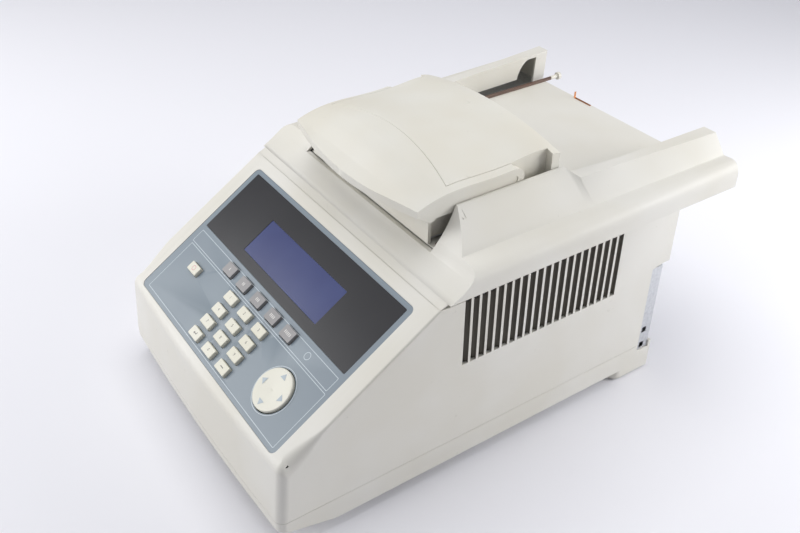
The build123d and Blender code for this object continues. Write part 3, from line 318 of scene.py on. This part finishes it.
def nose_fall(points):
    """Lowers points by the crown's loss, (plain - nose)(row) (1 - (x / half width)^2), less at the lip."""
    x, y, z = (points / MM).T
    row = y + HALF_LENGTH
    loss = np.interp(row, PLAIN_PLACES, PLAIN_CROWN) - np.interp(row, NOSE_PLACES, NOSE_CROWN)
    share = np.clip((z - LIP_FOOT) / FALL_HEIGHT, 0, 1) * np.clip(1 - (x / COVER_HALF_WIDTH) ** 2, 0, 1)
    moved = points.copy()
    moved[:, 2] -= loss * share * MM
    return moved


def cut_across(work, cuts):
    """Cuts every face at the places given for each axis, so that it can bend there."""
    for axis, places in cuts.items():
        normal = np.eye(3)[axis]
        for place in places:
            parts = work.verts[:] + work.edges[:] + work.faces[:]
            point = (normal * place * MM).tolist()
            bmesh.ops.bisect_plane(work, geom=parts, plane_co=point, plane_no=normal.tolist())


print("the nose is cut at", sum(len(places) for places in NOSE_CUTS.values()), "planes")

# %% [markdown]
# ## Thin ribs between the louvres
# The real slots are wider than the ribs between them, and their insides lie deep in shade. The slots'
# edges move apart in the copy, and the walls within the slots take a painted shade, a dark brown.

# %% The louvres' thin ribs
LOUVRE_FIRST, LOUVRE_PITCH, LOUVRE_COUNT = 189.5, 8.62, 21
SLOT_WIDTH, SLOT_MOUTH = 4.8, 6.0
SLOT_FOOT = 121.5
WALL_INSIDE = 140.0
EDGE_TOLERANCE = 0.05
FACING = 0.9
# Painted shade: a dark brown that stands in for the shade inside the slots and behind them.
LOUVRE_PAINTED_SHADE = film("dusty_abs", "#6F6B61", "#645F56", 0.8)


def wider_slots(points):
    """Moves each point at a slot's edge from half the slot's width to half its mouth."""
    x, y, z = (points / MM).T
    row = (y + HALF_LENGTH - LOUVRE_FIRST) / LOUVRE_PITCH
    offset = (row - np.clip(np.round(row), 0, LOUVRE_COUNT - 1)) * LOUVRE_PITCH
    at_edge = np.abs(np.abs(offset) - SLOT_WIDTH / 2) < EDGE_TOLERANCE
    at_edge &= (z > SLOT_FOOT) & (np.abs(x) > WALL_INSIDE)
    moved = points.copy()
    moved[:, 1] += np.where(at_edge, np.sign(offset) * (SLOT_MOUTH - SLOT_WIDTH) / 2, 0.0) * MM
    print("points at the slots' edges:", int(at_edge.sum()))
    return moved


def dusty_slots(mesh):
    """Painted shade, a dark brown, on the walls inside the slots: faces that look along Y, within the
    louvres.
    """
    mesh.materials.append(LOUVRE_PAINTED_SHADE)
    count = len(mesh.polygons)
    normal, centre = np.zeros(count * 3), np.zeros(count * 3)
    mesh.polygons.foreach_get("normal", normal)
    mesh.polygons.foreach_get("center", centre)
    x, y, z = (centre.reshape(-1, 3) / MM).T
    place = (y + HALF_LENGTH - LOUVRE_FIRST) / LOUVRE_PITCH
    inside = np.abs(normal.reshape(-1, 3)[:, 1]) > FACING
    inside &= (np.abs(x) > WALL_INSIDE) & (z > SLOT_FOOT) & (place > -1) & (place < LOUVRE_COUNT)
    mesh.polygons.foreach_set("material_index", inside.astype(int))
    print("walls inside the slots:", int(inside.sum()))


print("louvres:", LOUVRE_COUNT, "slots on each side,", SLOT_MOUTH, "mm wide")

# %% [markdown]
# ## Rounded mouldings
# A moulding never has a knife edge: the tool leaves about half a millimetre of radius, and that thin
# bright line is what makes plastic look real. The CAD node stays as it is for motion. A copy is merged
# into closed faces, its edges are bevelled, and the copy stands for the node in the picture.

# %% Round the edges
MERGE_MM = 0.004


def rounded(name, radius_mm, rule=None, cuts=None, segments=3, angle=28.0, flat=0.6):
    """A merged copy of a node: coplanar triangles joined, points moved by a rule, sharp edges rounded."""
    source = frame["nodes"][name]
    mesh = bpy.data.meshes.new(name + "_rounded")
    work = bmesh.new()
    work.from_mesh(source.data)
    bmesh.ops.remove_doubles(work, verts=work.verts, dist=MERGE_MM * MM)
    bmesh.ops.dissolve_limit(work, angle_limit=radians(flat), verts=work.verts, edges=work.edges)
    cut_across(work, cuts or {})
    work.to_mesh(mesh)
    work.free()
    if rule:
        points = np.zeros(len(mesh.vertices) * 3)
        mesh.vertices.foreach_get("co", points)
        mesh.vertices.foreach_set("co", rule(points.reshape(-1, 3)).ravel())
        mesh.update()
    mesh.polygons.foreach_set("use_smooth", np.ones(len(mesh.polygons), bool))
    mesh.set_sharp_from_angle(angle=radians(angle))
    mesh.materials.clear()
    mesh.materials.append(source.data.materials[0])
    piece = bpy.data.objects.new(name + "_rounded", mesh)
    bpy.context.scene.collection.objects.link(piece)
    bevel = piece.modifiers.new("edge_radius", "BEVEL")
    bevel.width = radius_mm * MM
    bevel.segments = segments
    bevel.limit_method = "ANGLE"
    bevel.angle_limit = radians(angle)
    bevel.miter_outer = "MITER_ARC"
    bevel.harden_normals = True
    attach(piece, BODY_OF[name])
    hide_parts(name)
    return piece


EDGE_RADIUS = {
    "upper_housing": 0.9, "base_pan": 1.0, "module_housing": 0.9, "cover_shell": 0.8, "lever": 0.8,
    "rear_deck": 0.5, "control_overlay": 0.2, "display_window": 0.15,
}
SHAPING = {
    "lever": (nose_fall, NOSE_CUTS), "cover_shell": (nose_fall, NOSE_CUTS),
    "upper_housing": (wider_slots, None),
}
for name, radius in EDGE_RADIUS.items():
    piece = rounded(name, radius, *SHAPING.get(name, ()))
    print(piece.name, len(piece.data.polygons), "faces before its edges are rounded")
# The walls inside the slots take the painted shade.
dusty_slots(bpy.data.objects["upper_housing_rounded"].data)

# %% [markdown]
# ## Printing on the control panel
# Thin pale lines frame the soft keys and the keypad, and a ring goes round the arrow pad. They are
# screen printed, so they have no thickness to speak of. Each is a closed band, worked out as a whole
# array, that lies a few hundredths of a millimetre above the film.

# %% The panel's own plane
PANEL_SLOPE = radians(32.5)
ALONG = np.array((0.0, cos(PANEL_SLOPE), sin(PANEL_SLOPE)))
OUT = np.array((0.0, -sin(PANEL_SLOPE), cos(PANEL_SLOPE)))
FILM_BOTTOM = 9.2
FILM_HEIGHT = 163.5
FILM_THICKNESS = 0.8
low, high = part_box("control_overlay")
film_middle = np.array((low + high) / 2) / MM
PRINT_LIFT = 0.03
print("middle of the film in mm:", np.round(film_middle, 2).tolist())


def on_panel(x, s, lift=0.0):
    """Point of the film's face: middle + x along X + (s - middle) up the slope + lift along the normal."""
    x, s, lift = np.broadcast_arrays(x, s, lift)
    up = s - (FILM_BOTTOM + FILM_HEIGHT / 2)
    out = lift + FILM_THICKNESS / 2
    point = film_middle + x[..., None] * np.array((1.0, 0, 0))
    return (point + up[..., None] * ALONG + out[..., None] * OUT) * MM


def mesh_piece(name, points, faces, material, body, smooth=False):
    """A mesh object from a whole array of points, in metres, and a list or an array of faces."""
    mesh = bpy.data.meshes.new(name)
    mesh.from_pydata(np.asarray(points).reshape(-1, 3), [], [[int(k) for k in face] for face in faces])
    mesh.polygons.foreach_set("use_smooth", np.full(len(mesh.polygons), smooth))
    mesh.materials.append(material)
    piece = bpy.data.objects.new(name, mesh)
    bpy.context.scene.collection.objects.link(piece)
    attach(piece, body)
    return piece


def loop_faces(rows, columns, closed=True):
    """Quads between the rows of a grid, the columns joined end to end where the loop is closed."""
    r, c = np.meshgrid(np.arange(rows - 1), np.arange(columns if closed else columns - 1), indexing="ij")
    right = (c + 1) % columns
    a, b = r * columns + c, r * columns + right
    return np.stack((a, b, b + columns, a + columns), -1).reshape(-1, 4)


def rounded_loop(x_low, x_high, s_low, s_high, radius, steps=8):
    """A rectangle's outline whose corners are quarter circles of the radius."""
    turn = np.linspace(0, np.pi / 2, steps)
    corners = []
    for k, (x, s) in enumerate(((x_high, s_high), (x_low, s_high), (x_low, s_low), (x_high, s_low))):
        a = turn + k * np.pi / 2
        side_x = -1 if k in (0, 3) else 1
        side_s = -1 if k in (0, 1) else 1
        corners.append(np.stack((x + side_x * radius + radius * np.cos(a),
                                 s + side_s * radius + radius * np.sin(a)), -1))
    return np.concatenate(corners)


def printed_band(name, loop, width, material):
    """A band along a closed outline: each point moved half the width to both sides of its normal."""
    ahead = np.roll(loop, -1, 0) - np.roll(loop, 1, 0)
    side = np.stack((ahead[:, 1], -ahead[:, 0]), -1)
    side /= np.linalg.norm(side, axis=1)[:, None]
    rows = np.stack((loop - side * width / 2, loop + side * width / 2))
    points = on_panel(rows[..., 0], rows[..., 1], PRINT_LIFT)
    faces = loop_faces(2, len(loop))[:, ::-1]
    return mesh_piece(name, points, faces, material, "base")


# %% Frames, rings and marks
LINE_WIDTH, STATUS_WIDTH = 0.55, 0.6
FRAME_RADIUS = 0.8
SOFT_KEYS_FRAME = (-131, 132, 75.3, 89.3)
KEYPAD_FRAME = (-129, 133.6, 13.5, 72.9)
PAD_X, PAD_S, PAD_RADIUS, RING_GAP = 90.6, 43.0, 20.2, 2.2
STATUS_X, STATUS_S, STATUS_RADIUS = 90.3, 82.8, 3.4


def circle(x, s, radius, steps=96):
    """Points at equal angles round a circle on the panel."""
    turn = np.linspace(0, 2 * np.pi, steps + 1)[:-1]
    return np.stack((x + radius * np.cos(turn), s + radius * np.sin(turn)), -1)


printed = [
    printed_band("frame_soft_keys", rounded_loop(*SOFT_KEYS_FRAME, FRAME_RADIUS), LINE_WIDTH, PRINT_PALE),
    printed_band("frame_keypad", rounded_loop(*KEYPAD_FRAME, FRAME_RADIUS), LINE_WIDTH, PRINT_PALE),
    printed_band("ring_pad", circle(PAD_X, PAD_S, PAD_RADIUS + RING_GAP), LINE_WIDTH, PRINT_PALE),
    printed_band("status_mark", circle(STATUS_X, STATUS_S, STATUS_RADIUS), STATUS_WIDTH, PRINT_PALE),
]
print("printed:", [p.name for p in printed])

# %% [markdown]
# ## Legends on the keys
# The number keys carry small dark numerals, in the rows of a telephone keypad, and the wide keys and
# soft keys a plain generic sign. They are flat text, made a mesh before its place is applied, and
# each rides with its own key, so that it goes down when the key is pressed.

# %% Numerals
NUMERAL_HEIGHT, INK_THICKNESS = 4.2, 0.01


def key_top(name):
    """Middle of a key's top face, from the key's own box and the panel's slope."""
    low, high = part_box(name)
    points = np.array([v.co[:] for v in frame["nodes"][name].data.vertices])
    rise = (points @ OUT).max()
    middle = np.array((low + high) / 2)
    return middle + OUT * (rise - middle @ OUT)


def legend(name, text, height_mm, material):
    """A numeral set in Blender's own font, centred on its key and lying a hair above it."""
    curve = bpy.data.curves.new(name, "FONT")
    curve.body = text
    curve.size = height_mm * MM
    curve.align_x = "CENTER"
    curve.align_y = "CENTER"
    curve.extrude = INK_THICKNESS * MM
    holder = bpy.data.objects.new(name, curve)
    mesh = bpy.data.meshes.new_from_object(holder)
    bpy.data.objects.remove(holder)
    place = np.eye(4)
    place[:3, 0] = (1, 0, 0)
    place[:3, 1] = ALONG
    place[:3, 2] = OUT
    place[:3, 3] = key_top(name) + OUT * PRINT_LIFT * MM
    mesh.transform(Matrix(place.tolist()))
    mesh.materials.clear()
    mesh.materials.append(material)
    piece = bpy.data.objects.new("legend_" + name, mesh)
    bpy.context.scene.collection.objects.link(piece)
    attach(piece, BODY_OF[name])
    return piece


for digit in range(10):
    legend("key_" + str(digit), str(digit), NUMERAL_HEIGHT, PRINT_DARK)
print("numerals 0 to 9 are set,", NUMERAL_HEIGHT, "mm high")

# %% Plain signs on the other keys
SIGN_LIFT = 0.04


def on_key(key, places):
    """Point of a key: middle of its top + across along X + up the slope + the sign's lift."""
    across, up = places[..., :1], places[..., 1:]
    return key_top(key) + (across * np.array((1.0, 0, 0)) + up * ALONG + OUT * SIGN_LIFT) * MM


def sign(name, key, outline, material):
    """A flat sign: its outline, in millimetres across and up the key, as one face."""
    outline = np.asarray(outline, float)
    face = range(len(outline))
    return mesh_piece(name, on_key(key, outline), [face], material, BODY_OF[key])


def ring_sign(name, key, radius, width, material, steps=32):
    """A flat ring on a key: two circles joined by quads."""
    rows = np.stack([circle(0.0, 0.0, r, steps) for r in (radius + width / 2, radius - width / 2)])
    return mesh_piece(name, on_key(key, rows), loop_faces(2, steps), material, BODY_OF[key])


ARROW_TURN = (
    (-2.6, -0.4), (-1.0, -1.8), (-1.0, -0.8), (2.6, -0.8), (2.6, 1.6), (1.8, 1.6), (1.8, 0.0),
    (-1.0, 0.0), (-1.0, 1.0),
)
BAR = ((-2.4, -0.45), (2.4, -0.45), (2.4, 0.45), (-2.4, 0.45))
TICK = np.array(((-0.5, -1.5), (0.5, -1.5), (0.5, 1.5), (-0.5, 1.5)))
TICK_PITCH = 2.0
STOP_RADIUS, STOP_WIDTH = 2.4, 0.7
sign("sign_enter", "key_enter", ARROW_TURN, PRINT_DARK)
sign("sign_clear", "key_clear", BAR, PRINT_DARK)
ring_sign("sign_stop", "key_stop", STOP_RADIUS, STOP_WIDTH, PRINT_RED)
for count in range(1, 6):
    key = "soft_key_" + str(count)
    for tick in range(count):
        x = (tick - (count - 1) / 2) * TICK_PITCH
        sign("sign_" + key + "_" + str(tick + 1), key, TICK + (x, 0.0), PRINT_LIGHT)
print("signs on the enter, clear, stop and soft keys")

# %% Arrowheads on the pad
ARROW_REACH = 14.0
ARROW_HEAD = np.array(((3.4, 0.0), (-1.8, 3.6), (-1.8, -3.6)))
for quarter in range(4):
    across, up = cos(quarter * np.pi / 2), sin(quarter * np.pi / 2)
    turned = np.array(((across, up), (-up, across)))
    outline = (ARROW_HEAD + (ARROW_REACH, 0.0)) @ turned
    sign("pad_arrow_" + str(quarter + 1), "arrow_pad", outline, PRINT_BLUE)
print("four arrowheads on the pad")

# %% [markdown]
# ## The panel slope's side edges
# The slope meets the sides at a crisp edge, with about two millimetres of radius, that softens near
# the nose. A slim corner piece runs up each edge. Its profile is flat, round, flat, and its radius
# grows towards the nose until it is the housing's own large rounding there.

# %% Crisp corners
CORNER = 12.0
CRISP_RADIUS = 2.0
SOFT_END, CRISP_START, SLOPE_LENGTH = 14.0, 60.0, 184.0
HALF_WIDTH = 159.0
SEAM_Z, CREASE_Z, CREASE_Y = 190.86, 92.0, 5.5
CORNER_LIFT = 0.03
SHARP_ANGLE = 40.0


def turned_outwards(mesh):
    """Turns the faces of a closed mesh so that they all point outwards."""
    work = bmesh.new()
    work.from_mesh(mesh)
    bmesh.ops.recalc_face_normals(work, faces=work.faces[:])
    work.to_mesh(mesh)
    work.free()


def corner_piece(name, side, steps=36, round_steps=10):
    """Profile (across, depth): straight, quarter circle, straight, swept up the slope to the seam."""
    share = np.linspace(0, 1, steps)[:, None]
    arc = np.linspace(0, np.pi / 2, round_steps)
    rise = SOFT_END + share * (SLOPE_LENGTH - SOFT_END)
    ease = np.clip((rise - SOFT_END) / (CRISP_START - SOFT_END), 0, 1)
    radius = CORNER + (CRISP_RADIUS - CORNER) * (3 * ease ** 2 - 2 * ease ** 3)
    ends = np.ones((steps, 1))
    across = np.concatenate((-CORNER * ends, radius * np.sin(arc) - radius, 0 * ends), 1) + CORNER_LIFT
    depth = np.concatenate((0 * ends, radius * np.cos(arc) - radius, -CORNER * ends), 1) + CORNER_LIFT
    seam_s = (SEAM_Z - CREASE_Z - depth * cos(PANEL_SLOPE)) / sin(PANEL_SLOPE)
    s = SOFT_END + share * (seam_s - SOFT_END)
    x = side * (HALF_WIDTH + across)
    y = CREASE_Y + s * cos(PANEL_SLOPE) - depth * sin(PANEL_SLOPE) - HALF_LENGTH
    z = CREASE_Z + s * sin(PANEL_SLOPE) + depth * cos(PANEL_SLOPE)
    points = np.stack((x, y, z), -1) * MM
    columns = points.shape[1]
    caps = [range(columns), range((steps - 1) * columns, steps * columns)]
    faces = loop_faces(steps, columns).tolist() + caps
    piece = mesh_piece(name, points, faces, HOUSING_ABS, "base", smooth=True)
    turned_outwards(piece.data)
    piece.data.set_sharp_from_angle(angle=radians(SHARP_ANGLE))
    return piece


for side, name in ((-1, "slope_corner_left"), (1, "slope_corner_right")):
    corner_piece(name, side)
print("two corner pieces along the slope")

# %% [markdown]
# ## Vanes behind the louvres
# Nothing of the inside shows through the side louvres, because a slanted vane stands behind each slot.
# It starts at the slot's rear edge and runs inwards and forwards, so that air passes and the eye doesn't.

# %% Stand the vanes
VANE_OUT, VANE_IN, VANE_THICKNESS = 156.2, 151.0, 0.9
VANE_FOOT, VANE_TOP = 121.2, 186.0


def louvre_vanes(name, side):
    """One slab per slot, repeated as a whole array: a parallelogram across, straight up."""
    centre = LOUVRE_FIRST + LOUVRE_PITCH * np.arange(LOUVRE_COUNT) - HALF_LENGTH
    run = VANE_OUT - VANE_IN
    x = np.array((VANE_OUT, VANE_IN, VANE_IN, VANE_OUT))
    y = np.array((0.0, -run, -run + VANE_THICKNESS, VANE_THICKNESS)) + SLOT_MOUTH / 2
    points = np.zeros((LOUVRE_COUNT, 2, 4, 3))
    points[..., 0] = side * x
    points[..., 1] = centre[:, None, None] + y
    points[..., 2] = np.array((VANE_FOOT, VANE_TOP))[:, None]
    slab = np.array(((0, 1, 5, 4), (1, 2, 6, 5), (2, 3, 7, 6), (3, 0, 4, 7), (3, 2, 1, 0), (4, 5, 6, 7)))
    faces = (slab + 8 * np.arange(LOUVRE_COUNT)[:, None, None]).reshape(-1, 4)
    # The vanes take the same painted shade, a dark brown that stands in for the shade behind the louvres.
    piece = mesh_piece(name, points * MM, faces, LOUVRE_PAINTED_SHADE, "base")
    turned_outwards(piece.data)
    return piece


for side, name in ((-1, "louvre_vanes_left"), (1, "louvre_vanes_right")):
    louvre_vanes(name, side)
print("vanes:", LOUVRE_COUNT, "on each side")

# %% [markdown]
# ## Ribs under the wings' crests
# Behind each wing's front edge the moulding is a little thicker, so that its hollow stays closed. A
# thin plate lies just under the wing's sloping face there.

# %% Thicken the wings' front edges
CREST_X, CREST_Z, CREST_FALL = 103.3, 242.2, 0.849
RIB_LEFT, RIB_RIGHT, RIB_FRONT, RIB_REAR, RIB_DEPTH = 104.6, 115.0, 217.0, 226.0, 1.6
RIB_FACES = ((0, 1, 2, 3), (7, 6, 5, 4), (0, 4, 5, 1), (1, 5, 6, 2), (2, 6, 7, 3), (3, 7, 4, 0))


def wing_rib(name, side):
    """A thin plate just under the wing's slope, z = crest - fall (x - crest x), behind its front edge."""
    x = np.array((RIB_LEFT, RIB_RIGHT, RIB_RIGHT, RIB_LEFT) * 2)
    y = np.array((RIB_FRONT, RIB_FRONT, RIB_REAR, RIB_REAR) * 2)
    sink = np.repeat((CORNER_LIFT, RIB_DEPTH), 4)
    z = CREST_Z - CREST_FALL * (x - CREST_X) - sink
    points = np.stack((side * x, y - HALF_LENGTH, z), -1) * MM
    piece = mesh_piece(name, points, RIB_FACES, HOUSING_ABS, "module")
    turned_outwards(piece.data)
    return piece


for side, name in ((-1, "wing_rib_left"), (1, "wing_rib_right")):
    wing_rib(name, side)
print("two ribs behind the wings' front edges")

# %% [markdown]
# ## The flat ribbon
# A strip of copper-coloured flex cable lies along the deck's rear edge and turns up at its left end.
# It is one profile, a flat run, a tight quarter turn and a short upright, given the film's thickness.

# %% Bend the ribbon
RIBBON_LEFT, RIBBON_RIGHT = -50.3, -25.5
RIBBON_WIDTH, RIBBON_RISE, RIBBON_BEND, RIBBON_THICKNESS = 2.4, 7.0, 1.2, 0.4
RIBBON_REAR = 497.0
RIBBON_Y = RIBBON_REAR - HALF_LENGTH - RIBBON_WIDTH
RIBBON_LIFT = 0.1
deck_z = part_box("rear_deck")[1][2] / MM + RIBBON_LIFT


def bent_strip(radius, rise, thickness):
    """Middle line: straight along X, a quarter circle up, then upright; rows step out by the thickness."""
    bend = np.linspace(-np.pi / 2, -np.pi, 9)
    centre = np.array((RIBBON_LEFT + radius, radius))
    arc = centre + radius * np.stack((np.cos(bend), np.sin(bend)), -1)
    inner = centre + (radius - thickness) * np.stack((np.cos(bend), np.sin(bend)), -1)
    outer_line = np.concatenate(([[RIBBON_RIGHT, 0.0]], arc, [[RIBBON_LEFT, rise]]))
    inner_line = np.concatenate(([[RIBBON_RIGHT, thickness]], inner, [[RIBBON_LEFT + thickness, rise]]))
    return np.concatenate((outer_line, inner_line[::-1]))


loop = bent_strip(RIBBON_BEND, RIBBON_RISE, RIBBON_THICKNESS)
rows = np.zeros((2, len(loop), 3))
rows[..., 0] = loop[:, 0]
rows[..., 2] = deck_z + loop[:, 1]
rows[..., 1] = RIBBON_Y + np.array((0.0, RIBBON_WIDTH))[:, None]
half = len(loop) // 2
caps = [[i, i + 1, len(loop) - 2 - i, len(loop) - 1 - i] for i in range(half - 1)]
back = [[len(loop) + k for k in cap][::-1] for cap in caps]
faces = loop_faces(2, len(loop))[:, ::-1].tolist() + caps + back
ribbon = mesh_piece("ribbon_strip", rows * MM, faces, COPPER_FILM, "module")
turned_outwards(ribbon.data)
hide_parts("flex_ribbon")
print("ribbon of", len(faces), "faces")

# %% [markdown]
# ## Stage and light
# The floor is a plain pale sheet that sweeps up into a backdrop, as in a product studio. Big soft lamps
# above and to both sides leave only a faint shadow. They are set so that a colour renders about as it
# is written, and the backdrop is pale by its own colour.

# %% Floor and backdrop
FLOOR_WHITE = "#EEEEF3"
SHEET_WIDTH, SHEET_FRONT, SHEET_REAR, SHEET_BEND, SHEET_TOP = 8.0, -4.0, 2.2, 0.8, 4.0


def sweep_sheet(width, front, rear, radius, top):
    """A profile carried along X: flat floor, a quarter circle, then a straight wall."""
    bend = np.linspace(-np.pi / 2, 0, 24)
    curve = np.stack((rear + radius * np.cos(bend), radius + radius * np.sin(bend)), -1)
    profile = np.concatenate(([[front, 0.0]], curve, [[rear + radius, top]]))
    x = np.array((-width / 2, width / 2))
    points = np.zeros((2, len(profile), 3))
    points[..., 0] = x[:, None]
    points[..., 1:] = profile
    return points, loop_faces(2, len(profile), closed=False)


points, faces = sweep_sheet(SHEET_WIDTH, SHEET_FRONT, SHEET_REAR, SHEET_BEND, SHEET_TOP)
sheet = bpy.data.meshes.new("backdrop")
sheet.from_pydata(points.reshape(-1, 3), [], faces[:, ::-1].tolist())
sheet.polygons.foreach_set("use_smooth", np.ones(len(sheet.polygons), bool))
backdrop = bpy.data.objects.new("backdrop", sheet)
bpy.context.scene.collection.objects.link(backdrop)
paper, tree, shader = new_material("backdrop_paper")
shader.inputs["Base Color"].default_value = linear(FLOOR_WHITE)
shader.inputs["Roughness"].default_value = 0.9
sheet.materials.append(paper)
backdrop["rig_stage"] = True
print("backdrop of", len(sheet.polygons), "faces")

# %% Lamps
def lamp(name, place, target, size, power):
    """A square soft lamp that looks from its place to the target."""
    light = bpy.data.lights.new(name, "AREA")
    light.size = size
    light.energy = power
    holder = bpy.data.objects.new(name, light)
    direction = np.array(target) - np.array(place)
    back = -direction / np.linalg.norm(direction)
    side = np.cross((0, 0, 1), back) if abs(back[2]) < 0.99 else np.array((1.0, 0, 0))
    side = side / np.linalg.norm(side)
    place_matrix = np.eye(4)
    place_matrix[:3, 0] = side
    place_matrix[:3, 1] = np.cross(back, side)
    place_matrix[:3, 2] = back
    place_matrix[:3, 3] = place
    holder.matrix_world = Matrix(place_matrix.tolist())
    bpy.context.scene.collection.objects.link(holder)
    return holder


lamp("overhead", (-0.25, 0.0, 1.9), (0, 0, 0.1), 1.6, 19.5)
lamp("left_front", (-1.3, -1.5, 0.8), (0, 0, 0.12), 1.2, 25)
lamp("right_rear", (0.7, 0.95, 0.48), (0.12, 0.15, 0.12), 0.6, 9.5)
world = bpy.data.worlds.new("studio")
world.use_nodes = True
air = world.node_tree.nodes["Background"]
air.inputs["Color"].default_value = linear("#F7F8FF")
air.inputs["Strength"].default_value = 0.27
bpy.context.scene.world = world

# %% Bounds of the dressed instrument
low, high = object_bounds()
